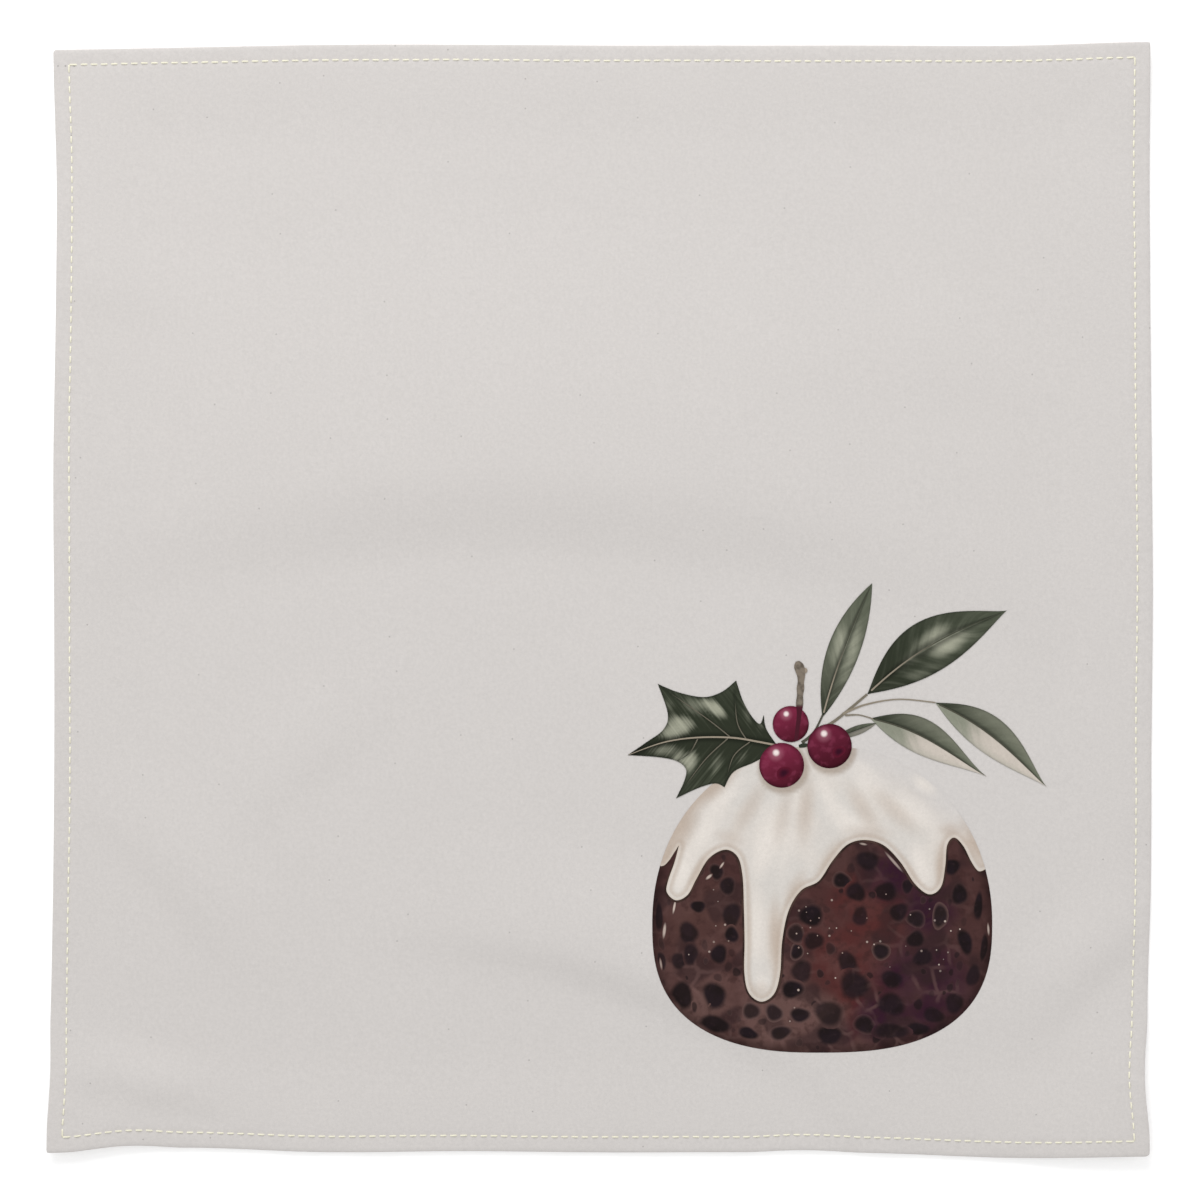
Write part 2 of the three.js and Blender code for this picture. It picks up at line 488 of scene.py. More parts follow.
def cloth_finish(sizes):
    """Undyed cotton with faint clouding and a few dark neps."""
    f = Finish("napkin cloth", sizes.colour, 0.95, sheen=0.12)
    colour = f.mix(f.noise(f.where(), 24, 3), tinted(sizes.colour, 0.985), tinted(sizes.colour, 1.015))
    cell = f.add("TexVoronoi", {"Vector": f.where(), "Scale": 34.0}, voronoi_dimensions="2D")
    chosen = f.math("GREATER_THAN", f.split(cell.outputs["Color"])[0], 0.55)
    nep = f.math("LESS_THAN", cell.outputs["Distance"], 0.0125)
    colour = f.over(colour, (0.20, 0.18, 0.17), nep, chosen, 0.45)
    for mark in NEEDLE_MARKS:
        away = f.away(f.where(), tuple(c * MM for c in mark))
        colour = f.over(colour, (0.17, 0.16, 0.155), f.fade(away, 0.75 * MM, 0.35 * MM), 0.55)
    return woven(f, colour)


def thread_finish(sizes):
    """Cream cotton thread of two twisted plies."""
    f = Finish("sewing thread", sizes.thread_colour, 0.7, sheen=0.2)
    x, y, _ = f.split(f.where(math.tau / (0.55 * MM)))
    ply = f.math("SINE", f.math("ADD", x, y))
    shade = f.add("MapRange", {0: ply, 1: -1.0, 2: 1.0, 3: 0.92, 4: 1.04}).outputs[0]
    bump = f.add("Bump", {"Strength": 0.5, "Distance": 0.08 * MM, "Height": ply})
    f.set(f.shader, "Normal", bump.outputs["Normal"])
    f.set(f.shader, "Base Color", f.mix(1.0, sizes.thread_colour, shade, blend="MULTIPLY"))
    return f.material


# ------------------------------------------------ the cloth and its sewing


def turn(bm, rim, half, inset, height):
    """Carries the cloth on from its rim to a ring at an inset and a height, and returns the new rim."""
    verts, edges = extruded(bm, rim)
    low = Vector([min(v.co[axis] for v in verts) for axis in (0, 1)])
    bmesh.ops.scale(bm, verts=verts, vec=((half.x - inset) / -low.x, (half.y - inset) / -low.y, 1))
    bmesh.ops.translate(bm, verts=verts, vec=(0, 0, height - verts[0].co.z))
    return [e for e in edges if e.is_boundary]


class NAPKIN_OT_cloth(Operator):
    """Lay the cloth, whose edges are turned over twice at the back"""

    bl_idname = "napkin.cloth"
    bl_label = "Lay the Cloth"

    SLOPE = 40 * MM  # the panel climbs to the hem's height over this width
    FINE = 4.4 * MM  # the width of close rings inside the hem
    AIR = 0.03 * MM  # between two layers of the hem
    CUTS = 3  # extra cuts in each stitch's length of the hem
    LAYERS = 3  # in the hem

    def climb(self, sizes, inset):
        """The height of the panel's middle as it climbs from the table to the top of the hem."""
        t = clamp((sizes.hem + self.SLOPE - inset) / self.SLOPE)
        return sizes.thickness / 2 + 2 * (sizes.thickness + self.AIR) * t * t * (3 - 2 * t)

    def rings(self, sizes):
        """The hem's rings from the panel outwards, round the outer fold and back under to the inner fold."""
        layer = sizes.thickness + self.AIR
        low, middle, top = (sizes.thickness / 2 + i * layer for i in range(self.LAYERS))
        inner, outer = sizes.hem, layer + sizes.thickness / 2
        close = [inner + self.FINE * t for t in (0.7, 0.45, 0.22, 0)]
        climb = [(inset, self.climb(sizes, inset)) for inset in close]
        face = [(inner + (outer - inner) * t, top) for t in (0.1, 0.18, 0.26, 0.4, 0.6, 0.8, 1)]
        angles = [math.radians(a) for a in (45, 90, 135)]
        fold = [(outer - layer * math.sin(a), middle + layer * math.cos(a)) for a in angles]
        back = [(outer + (inner - layer / 2 - outer) * t, low) for t in (0, 0.5, 0.8, 1)]
        tuck = [(inner, (low + middle) / 2), (inner - layer / 2, middle), (inner - sizes.turned_in, middle)]
        return climb + face + fold + back + tuck

    def execute(self, context):
        sizes = context.scene.napkin_cloth
        lie = Lie(sizes)

        def inset(v):
            return min(lie.half.x - abs(v.co.x), lie.half.y - abs(v.co.y))

        bm = bmesh.new()
        start = sizes.hem + self.FINE
        panel = Matrix.Diagonal((lie.half.x - start, lie.half.y - start, 1, 1))
        columns, rows = lie.stitches
        bmesh.ops.create_grid(bm, x_segments=columns, y_segments=rows, size=1, matrix=panel)
        for v in bm.verts:
            v.co.z = self.climb(sizes, inset(v))
        bmesh.ops.subdivide_edges(bm, edges=[e for e in bm.edges if e.is_boundary], cuts=self.CUTS)
        rim = [e for e in bm.edges if e.is_boundary]
        for ring, height in self.rings(sizes):
            rim = turn(bm, rim, lie.half, ring, height)
        top = sizes.thickness * (self.LAYERS - 0.5)
        for v in bm.verts:
            face = 1 if inset(v) > sizes.hem else min(1, v.co.z / top)
            v.co = lie.place(v.co.x, v.co.y, v.co.z, face)
        cloth = finished("napkin_cloth", bm, cloth_finish(sizes))
        solid = cloth.modifiers.new("Thickness", "SOLIDIFY")
        solid.thickness, solid.offset = sizes.thickness, 0.0
        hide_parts(CLOTH_NODE)
        return {"FINISHED"}


class NAPKIN_OT_stitches(Operator):
    """Sew the hem down with straight stitches, on its face and on its back"""

    bl_idname = "napkin.stitches"
    bl_label = "Sew the Hem"

    SEED = 12
    # A stitch from hole to hole: shares of the pitch from its middle, and heights in thread widths.
    SHAPE = ((-0.5, -1.5), (-0.40, -1.1), (-0.345, -0.4), (-0.28, 0.12), (-0.12, 0.26),
             (0.12, 0.26), (0.28, 0.12), (0.345, -0.4), (0.40, -1.1), (0.5, -1.5))
    PRESSED = 0.7  # the height of the thread's section, as a share of its width
    BACK = 0.55  # how high the stitches at the back lie, in thread widths
    STRAY = 0.06  # how far a stitch strays from the line at most, in mm
    UNEVEN = 0.03  # the share by which its length varies
    TILT = 2  # at most, in degrees
    CORNER_SHIFT = 0.09  # a corner's stitches lie this share of a pitch further out
    CORNER_GROWTH = 0.18  # and are longer by this share

    def stitch(self, sizes):
        """One stitch along X: a length of thread that dives into the cloth at both ends."""
        bm = bmesh.new()
        pitch, radius = sizes.stitch_pitch, sizes.thread / 2
        lying = Matrix.Rotation(math.pi / 2, 4, "Y")
        bmesh.ops.create_cone(
            bm, cap_ends=True, segments=6, radius1=radius, radius2=radius, depth=pitch, matrix=lying
        )
        for share, _ in self.SHAPE[1:-1]:
            cut_across(bm, 0, share * pitch, 1e-7)
        for v in bm.verts:
            rise = np.interp(v.co.x / pitch, *zip(*self.SHAPE))
            v.co.z = v.co.z * self.PRESSED + rise * sizes.thread
        mesh = bpy.data.meshes.new("stitch")
        bm.to_mesh(mesh)
        bm.free()
        return mesh

    def sewn(self, lie, sizes, pick, quarter, number, back):
        """Where a stitch lies on the flat napkin. Those on the back lie between those on the face."""
        axis = quarter % 2
        count = lie.stitches[axis]
        reach = lie.half[axis] - sizes.stitch_inset
        along = number + (1.0 if back else 0.5)
        inset = sizes.stitch_inset + lie.wander(along, count) + pick.uniform(-self.STRAY, self.STRAY) * MM
        corner = 0 if back or 0 < number < count - 1 else (1 if number else -1)
        middle = (2 * (along + self.CORNER_SHIFT * corner) / count - 1) * reach
        growth = pick.uniform(1 - self.UNEVEN, 1 + self.UNEVEN) + self.CORNER_GROWTH * abs(corner)
        size = 2 * reach / count / sizes.stitch_pitch * growth
        side = Matrix.Rotation(quarter * math.pi / 2, 4, "Z")
        at = Matrix.Translation((middle, inset - lie.half[1 - axis], 0))
        tilt = Matrix.Rotation(math.radians(pick.uniform(-self.TILT, self.TILT)), 4, "Z")
        return side @ at @ tilt @ Matrix.Diagonal((size, 1, -0.8 if back else 1, 1))

    def execute(self, context):
        sizes = context.scene.napkin_cloth
        lie = Lie(sizes)
        pick = random.Random(self.SEED)
        one = self.stitch(sizes)
        hem_top = NAPKIN_OT_cloth.LAYERS * sizes.thickness + 2 * NAPKIN_OT_cloth.AIR
        bm = bmesh.new()
        for quarter in range(4):
            for number in range(lie.stitches[quarter % 2]):
                for back in (False, True):
                    first = len(bm.verts)
                    bm.from_mesh(one)
                    bm.verts.ensure_lookup_table()
                    added = bm.verts[first:]
                    where = self.sewn(lie, sizes, pick, quarter, number, back)
                    bmesh.ops.transform(bm, verts=added, matrix=where)
                    for v in added:
                        if back:
                            v.co = lie.under(v.co.x, v.co.y, v.co.z + self.BACK * sizes.thread)
                        else:
                            v.co = lie.place(v.co.x, v.co.y, v.co.z + hem_top)
        bmesh.ops.recalc_face_normals(bm, faces=bm.faces)
        stitches = finished("hem_stitches", bm, thread_finish(sizes))
        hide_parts(THREAD_NODE)
        return {"FINISHED"}


# ------------------------------------------------ the printed shapes, in mm from the pudding's waist

# The icing's lower edge, run by run: a sharp slit parts the first two.
ICING_EDGE = (
    ((-74.8, 26.6), (-73.0, 27.2), (-70.8, 29.6), (-68.7, 32.8), (-66.4, 36.4)),
    ((-66.4, 36.4), (-68.4, 28.6), (-71.4, 20.0), (-72.0, 14.6), (-67.8, 10.9), (-62.4, 13.4), (-58.4, 20.6),
     (-52.6, 30.2), (-45.0, 34.3), (-39.2, 31.0), (-36.9, 22.0), (-36.3, 8.0), (-36.0, -8.0), (-36.1, -23.0),
     (-34.0, -32.0), (-28.3, -36.0), (-22.4, -32.4), (-19.6, -23.0), (-18.6, -8.0), (-15.6, 6.0), (-9.8, 15.4),
     (-1.6, 19.8), (4.8, 29.2), (11.6, 36.6), (19.6, 38.8), (28.4, 36.4), (36.2, 28.6), (43.0, 18.4),
     (49.6, 13.6), (55.0, 17.0), (57.0, 26.6), (57.9, 36.4), (61.2, 39.9), (65.4, 36.0), (69.2, 28.6),
     (72.4, 24.4), (75.6, 25.2)),
)

# The holly leaf's edge, from one sharp point to the next.
HOLLY_EDGE = (
    ((-21.5, 83.4), (-24.6, 79.0), (-31.5, 74.8), (-41.0, 70.4), (-45.3, 63.2)),
    ((-45.3, 63.2), (-49.6, 65.0), (-57.6, 62.8), (-67.8, 58.0)),
    ((-67.8, 58.0), (-64.0, 66.0), (-63.2, 71.6), (-67.6, 75.4), (-76.5, 77.2), (-90.2, 78.1)),
    ((-90.2, 78.1), (-81.6, 84.0), (-73.6, 90.0), (-71.6, 97.4), (-76.2, 111.1)),
    ((-76.2, 111.1), (-66.6, 107.2), (-55.0, 105.0), (-46.6, 107.4), (-39.9, 112.7)),
    ((-39.9, 112.7), (-36.8, 103.4), (-32.6, 96.0), (-28.9, 92.6), (-27.1, 96.8)),
    ((-27.1, 96.8), (-26.0, 90.4), (-21.5, 83.4)),
)
HOLLY_RIB = ((-21.0, 82.6), (-29.1, 84.2), (-42.0, 86.2), (-58.9, 86.2), (-74.0, 83.9), (-89.6, 78.3))
HOLLY_VEINS = (
    ((-35.3, 85.6), (-39.4, 93.4), (-40.6, 108.0)),
    ((-42.8, 86.6), (-54.0, 95.4), (-74.9, 110.0)),
    ((-57.7, 85.6), (-61.4, 79.2), (-66.8, 75.6)),
    ((-43.8, 85.8), (-54.6, 75.6), (-66.4, 59.6)),
    ((-33.6, 84.2), (-41.2, 77.4), (-44.9, 64.4)),
)
# Soft strokes of light on the holly, and below on the sprig: two ends, width and strength.
HOLLY_LIGHT = (
    (-77, 87.0, -58.5, 92.6, 3.0, 0.85), (-73, 95.0, -60, 92.0, 2.6, 0.75),
    (-54.6, 104.2, -44.2, 95.0, 2.0, 1.0), (-58, 104, -50, 100, 1.6, 0.55),
    (-71.5, 74.6, -59.5, 78.0, 2.4, 0.70), (-64.0, 69.0, -58.4, 80.4, 2.2, 0.80),
    (-83, 80.2, -62, 80.6, 2.4, 0.50), (-66, 104, -54, 97, 2.6, 0.40), (-52, 68, -46, 80, 2.0, 0.35),
    (-36.4, 106, -33, 90, 1.8, 0.35), (-73, 105, -69, 97, 2.2, 0.35), (-31, 97, -27.5, 87, 1.4, 0.3),
    (-40, 73, -34, 81, 1.4, 0.3),
)

# The sprig's leaves: base, tip, how far the left and the right edge stand off the straight line between them,
# the share of the length at the widest place, how much of the pale underside shows, and how light it is.
SPRIG = (
    ((0.1, 95.6), (23.1, 157.8), 9.0, 5.8, 0.50, 0.0, 0.30),
    ((20.8, 106.3), (85.6, 145.2), 16.5, 7.9, 0.47, 0.0, 0.0),
    ((22.2, 95.2), (76.9, 67.9), 11.3, 5.0, 0.40, 1.0, 0.24),
    ((52.3, 102.5), (104.2, 63.3), 11.8, 5.1, 0.44, 1.0, 0.30),
    ((6.0, 86.0), (25.2, 92.9), 2.1, 2.2, 0.50, 0.3, 0.1),
)
SPRIG_LIGHT = (
    (4.6, 117, 11.0, 142, 2.4, 0.60), (12.0, 118, 17.6, 141, 2.2, 0.55), (8, 110, 15, 128, 2.2, 0.35),
    (50, 124, 67, 134, 2.9, 0.75), (44, 123, 76, 139, 3.4, 0.35), (41, 127, 62, 140, 2.6, 0.60),
    (34, 117, 50, 131, 2.2, 0.30), (36, 113, 58, 121, 2.2, 0.25),
)
# The stems' lines, their widths, and how dark each one is.
STEMS = (
    ((2.0, 91.6), (6.4, 94.4), (12.6, 99.4), (20.8, 106.3)),
    ((-9.4, 83.9), (-6.4, 86.2), (-3.2, 89.8), (0.3, 96.8)),
    ((9.5, 97.2), (20.0, 101.5), (35.4, 104.0), (52.3, 102.5)),
    ((10.6, 96.5), (17.0, 96.7), (23.6, 94.9)),
    ((-10.8, 82.2), (-8.7, 82.6), (-6.4, 82.8)),
)
STEM_WIDTHS = (
    (1.4, 1.3, 1.2, 1.1), (1.5, 1.2, 0.9, 0.9), (1.2, 0.8, 0.6, 0.6), (0.9, 0.6, 0.6), (1.3, 2.0, 1.2),
)
STEM_DARK = (0.45, 0.85, 0.18, 0.35, 1.0)

# The berries and their dark ends: middle and radius. Then the twig's line, with its width at each point.
BERRIES = {
    "berry_back": (-14.6, 92.5, 8.4),
    "berry_left": (-18.8, 73.4, 10.4),
    "berry_right": (3.4, 82.3, 10.3),
}
BERRY_ENDS = ((-17.8, 69.8, 3.5), (7.7, 79.7, 3.0))
# The light on a berry: where it is and its size in shares of the berry's radius, its strength and its colour.
BERRY_LIGHT = (
    (-0.26, 0.52, 0.44, 0.32, (0.50, 0.20, 0.27)),
    (-0.25, 0.56, 0.20, 0.95, (0.84, 0.74, 0.72)),
)
TWIG = (
    (-12.2, 84.8), (-11.4, 91.0), (-10.7, 97.0), (-10.5, 102.0), (-10.3, 106.0), (-10.1, 109.0), (-9.9, 112.0),
    (-9.8, 114.6), (-10.2, 117.4), (-11.0, 119.8), (-11.5, 121.6),
)
TWIG_WIDTH = (1.7, 1.9, 2.2, 3.3, 2.8, 3.5, 2.9, 3.6, 4.5, 4.3, 1.6)
TWIG_BUD = (-8.1, 117.2, 1.2)

# Soft strokes on the icing: two ends, width and strength. The folds fall from under the berries.
ICING_FOLDS = (
    (-24, 70, -44, 36, 3.0, 0.50), (-6, 72, -9.5, 34, 3.0, 0.62), (11, 66, 27, 40, 3.0, 0.50),
    (22, 64, 46, 40, 3.2, 0.45), (-14, 68, -22, 34, 2.8, 0.40), (26, 74, 62, 48, 3.2, 0.20),
    (-72, 30, -57, 60, 4.2, 0.95), (-62, 52, -38, 74, 3.2, 0.95), (-73.5, 24, -70, 42, 2.2, 0.9),
    (63, 52, 76, 24, 2.6, 0.9), (-21.8, 16, -21.6, -30, 2.6, 0.95), (-17.5, 6, -8, 25, 2.6, 0.65),
    (-62.0, 14, -52.5, 33, 2.2, 0.75), (54.6, 14, 55.0, 40, 2.2, 0.85), (45.5, 14, 36, 32, 2.0, 0.40),
    (-34.2, 24, -34.4, -28, 1.4, 0.30), (-4, 20, 11, 42, 2.4, 0.55), (-50, 42, -36, 37, 2.6, 0.40),
    (8, 43, 34, 41, 2.6, 0.45), (-34, -31, -24, -31, 3.0, 0.45), (54.5, 43.6, 65.5, 43.2, 2.7, 0.9),
    (64, 41, 69, 36, 1.8, 0.4),
)
ICING_SHINE = (
    (-30.5, 24, -30.5, -28, 2.2, 0.65), (-28.5, -22, -27.5, -33, 2.4, 0.8),
    (-68.5, 14, -60, 35, 2.4, 1.0), (49, 16, 42, 40, 3.0, 0.9), (-20, 60, -30, 20, 4.2, 0.9),
    (-46, 54, -64, 30, 3.6, 0.9), (-36, 68, -56, 48, 3.2, 0.8), (0, 60, 18, 38, 4.0, 0.8),
    (14, 74, 26, 60, 3.4, 0.9), (34, 62, 54, 44, 3.4, 0.8), (41, 68.5, 53, 60, 2.2, 1.0),
    (-10, 66, -14, 48, 2.6, 0.7), (-2, 70, 6, 52, 2.4, 0.6), (30, 58, 52, 46, 3.4, 0.7),
    (-26, 44, -30, 20, 3.0, 0.6), (10, 50, 26, 42, 2.8, 0.6), (-13, 50, -21, 18, 3.2, 0.5),
    (65, 44, 71, 31, 1.6, 0.8), (10, 78, 30, 62, 2.8, 0.5),
)

# Pale gloss on the pudding: two ends, width and strength.
GLOSS = (
    (-68.0, 11.0, -69.2, 4.6, 1.4, 1.0), (-72.8, 0.4, -73.6, -6.6, 1.9, 0.8),
    (-75.2, -16.0, -74.4, -21.0, 1.3, 0.5), (-53.6, 20.8, -51.4, 22.6, 1.8, 0.9),
    (-47.4, 25.8, -45.6, 28.4, 1.3, 0.9), (28.8, 33.6, 37.6, 23.6, 1.7, 0.6),
    (76.8, 0.2, 77.2, -5.4, 1.3, 0.7), (17.4, 37.2, 20.6, 36.6, 1.4, 0.6),
)

# The large fruits: middle, half width, half height, and how pale a ring each has round it.
FRUITS = (
    (-42, 4, 4.3, 5.4, 0.2), (-42, -5, 3.0, 3.6, 0.4), (-48, -14, 4.0, 4.0, 0.3),
    (-62, -4, 4.4, 4.6, 0.1), (-61, -14, 3.4, 4.3, 0.1), (-66.5, -17, 3.0, 4.0, 0.2),
    (-57.6, 8, 3.1, 2.8, 0.3), (-74.4, -17, 1.6, 4.4, 0.4), (-75.6, 3, 1.8, 5.8, 0.1),
    (-65, -33, 5.0, 6.0, 0.1), (-50, -33, 5.3, 5.6, 0.3), (-50, -46.6, 7.2, 3.8, 0.2),
    (-33, -40.4, 3.4, 3.7, 0.9), (-22.4, -41.2, 3.6, 3.6, 1.0), (-10.4, -42.2, 4.2, 3.2, 0.8),
    (-19.4, -50.5, 4.6, 2.9, 0.7), (-9.6, -22.0, 5.0, 4.6, 0.3), (-14, -30.4, 4.6, 4.2, 0.5),
    (-11.8, -13.0, 2.8, 3.2, 0.9), (-5.2, 3.6, 5.0, 5.2, 0.3), (-12.2, -4.6, 3.8, 3.8, 0.7),
    (-4.0, -8.0, 4.2, 4.2, 0.3), (11.6, -17.8, 4.4, 4.8, 0.1), (14.8, -28.6, 6.8, 5.8, 0.1),
    (17.6, 3.4, 3.7, 4.1, 0.2), (15.6, 14.6, 4.3, 4.3, 0.1), (29.4, 14.8, 4.6, 4.6, 0.1),
    (21.0, 29.2, 4.6, 4.6, 0.1), (9.0, 20.0, 3.6, 3.6, 0.6), (27.2, -12.8, 3.4, 3.8, 0.8),
    (35.4, 5.4, 3.9, 4.1, 0.2), (43.4, 2.2, 3.6, 3.8, 0.6), (43.2, -7.2, 3.8, 3.8, 0.2),
    (46.6, -15.6, 4.2, 3.8, 0.1), (54.6, 3.6, 2.9, 5.6, 0.9), (63.6, 13.6, 3.3, 4.7, 0.3),
    (60.0, 26.4, 3.4, 3.8, 0.1), (66.2, -8.4, 3.0, 6.0, 0.2), (72.4, 8.0, 2.0, 5.8, 0.1),
    (75.0, -11.0, 1.7, 5.6, 0.2), (61.2, -36.8, 4.4, 4.2, 0.1), (51.6, -42.4, 4.6, 3.4, 0.1),
    (3.0, -41.4, 6.8, 5.0, 0.4), (3.4, -51.6, 6.0, 3.8, 0.1), (19.6, -46.8, 4.8, 3.6, 0.5),
    (32.0, -37.4, 5.8, 5.2, 0.1), (32.0, -49.8, 7.2, 3.4, 0.1), (44.6, -48.8, 4.8, 2.8, 0.1),
    (32.2, -25.8, 4.4, 4.0, 0.1), (70.0, -24.0, 2.8, 5.2, 0.1), (-49, 24, 3.0, 3.4, 0.5),
    (-44, 17.6, 3.6, 3.6, 0.4), (-34.4, -50.6, 4.4, 2.6, 0.4), (39.6, 17.4, 2.6, 3.0, 0.3),
)
# Specks of gloss: the middle and the spread of each scatter, and how many specks fall there at most.
SPECKS = ((-53, -2, 7, 9), (-3, 2, 9, 18), (26, -8, 12, 12), (-20, -38, 10, 5), (52, -8, 8, 14))


def line_through(points, steps=8):
    """A smooth line through points, both ends included."""
    stops = [Vector(p) for p in points]
    return [through(stops, i / steps) for i in range((len(stops) - 1) * steps + 1)]


def edge_through(runs):
    """An edge of smooth runs that meet at sharp points, without its last point."""
    return [p for run in runs for p in line_through(run)[:-1]]


def round_at(x, y, wide, high, turn=0.0, count=24, wobble=None):
    """An oval. A wobble is two angles, which pull it a little out of shape."""
    c, s = math.cos(turn), math.sin(turn)
    places = []
    for i in range(count):
        a = math.tau * i / count
        swell = 1
        if wobble:
            swell += 0.09 * math.sin(2 * a + wobble[0]) + 0.07 * math.sin(3 * a + wobble[1])
        p, q = wide * swell * math.cos(a), high * swell * math.sin(a)
        places.append(Vector((x + c * p - s * q, y + s * p + c * q)))
    return places


# How square the pudding is above and below its waist, where 2 is an oval.
SQUARE_ABOVE, SQUARE_BELOW = 2.1, 2.6


def silhouette(sizes, low=-math.pi, high=math.pi, count=160):
    """The pudding's outline from one angle to another: flat at the base and domed above the waist."""
    places = []
    for i in range(count + 1):
        angle = low + (high - low) * i / count
        power = 2 / (SQUARE_ABOVE if math.sin(angle) > 0 else SQUARE_BELOW)
        rise = sizes.dome if math.sin(angle) > 0 else sizes.base
        c, s = math.cos(angle), math.sin(angle)
        x, y = math.copysign(abs(c) ** power, c) * sizes.waist, math.copysign(abs(s) ** power, s) * rise
        places.append(Vector((x / MM, y / MM)))
    return places


def iced(p, above=0.0):
    """Whether a place of the outline is above the icing's end on its side, by more than a height in mm."""
    end = ICING_EDGE[-1][-1] if p.x > 0 else ICING_EDGE[0][0]
    return p.y > end[1] + above


def icing_outline(sizes):
    """The drips' edge, and the dome above the icing's ends."""
    drips = [*edge_through(ICING_EDGE), Vector(ICING_EDGE[-1][-1])]
    return drips, [p for p in silhouette(sizes, 0, math.pi, 120) if iced(p)]


def gap(p, line):
    """The distance from a place to a line of points, as an array of both ends of its lengths."""
    start, run = line[:-1], line[1:] - line[:-1]
    away = np.array(p[:2]) - start
    t = np.clip((away * run).sum(1) / np.maximum((run * run).sum(1), 1e-9), 0, 1)
    return float(np.hypot(*(away - run * t[:, None]).T).min())


def from_line(points, closed=False):
    """A rule that gives a place's distance from a line, in mm."""
    line = np.array([p[:2] for p in points] + ([points[0][:2]] if closed else []))
    return lambda p: gap(p, line)


def brush(strokes):
    """A rule that gives how strongly some soft oval strokes cover a place, from 0 to 1."""
    ovals = []
    for x0, y0, x1, y1, width, depth in strokes:
        run = Vector((x1 - x0, y1 - y0))
        middle = Vector((x0 + x1, y0 + y1)) / 2
        ovals.append((middle, run.normalized(), run.length / 2 + width, 2 * width, depth))

    def cover(p):
        bare = 1.0
        for middle, ahead, reach, width, depth in ovals:
            off = p.xy - middle
            bare *= 1 - depth * hump(math.hypot(off.dot(ahead) / reach, off.cross(ahead) / width))
        return 1 - bare

    return cover


def inside(p, outline):
    """Whether a place is inside a closed outline."""
    odd = False
    for a, b in zip(outline, outline[1:] + outline[:1]):
        if (a.y > p.y) != (b.y > p.y) and p.x < a.x + (b.x - a.x) * (p.y - a.y) / (b.y - a.y):
            odd = not odd
    return odd


def face_up(bm):
    """Turns a flat shape's faces upwards."""
    bmesh.ops.recalc_face_normals(bm, faces=bm.faces)
    bm.normal_update()
    if sum(f.normal.z * f.calc_area() for f in bm.faces) < 0:
        bmesh.ops.reverse_faces(bm, faces=bm.faces)


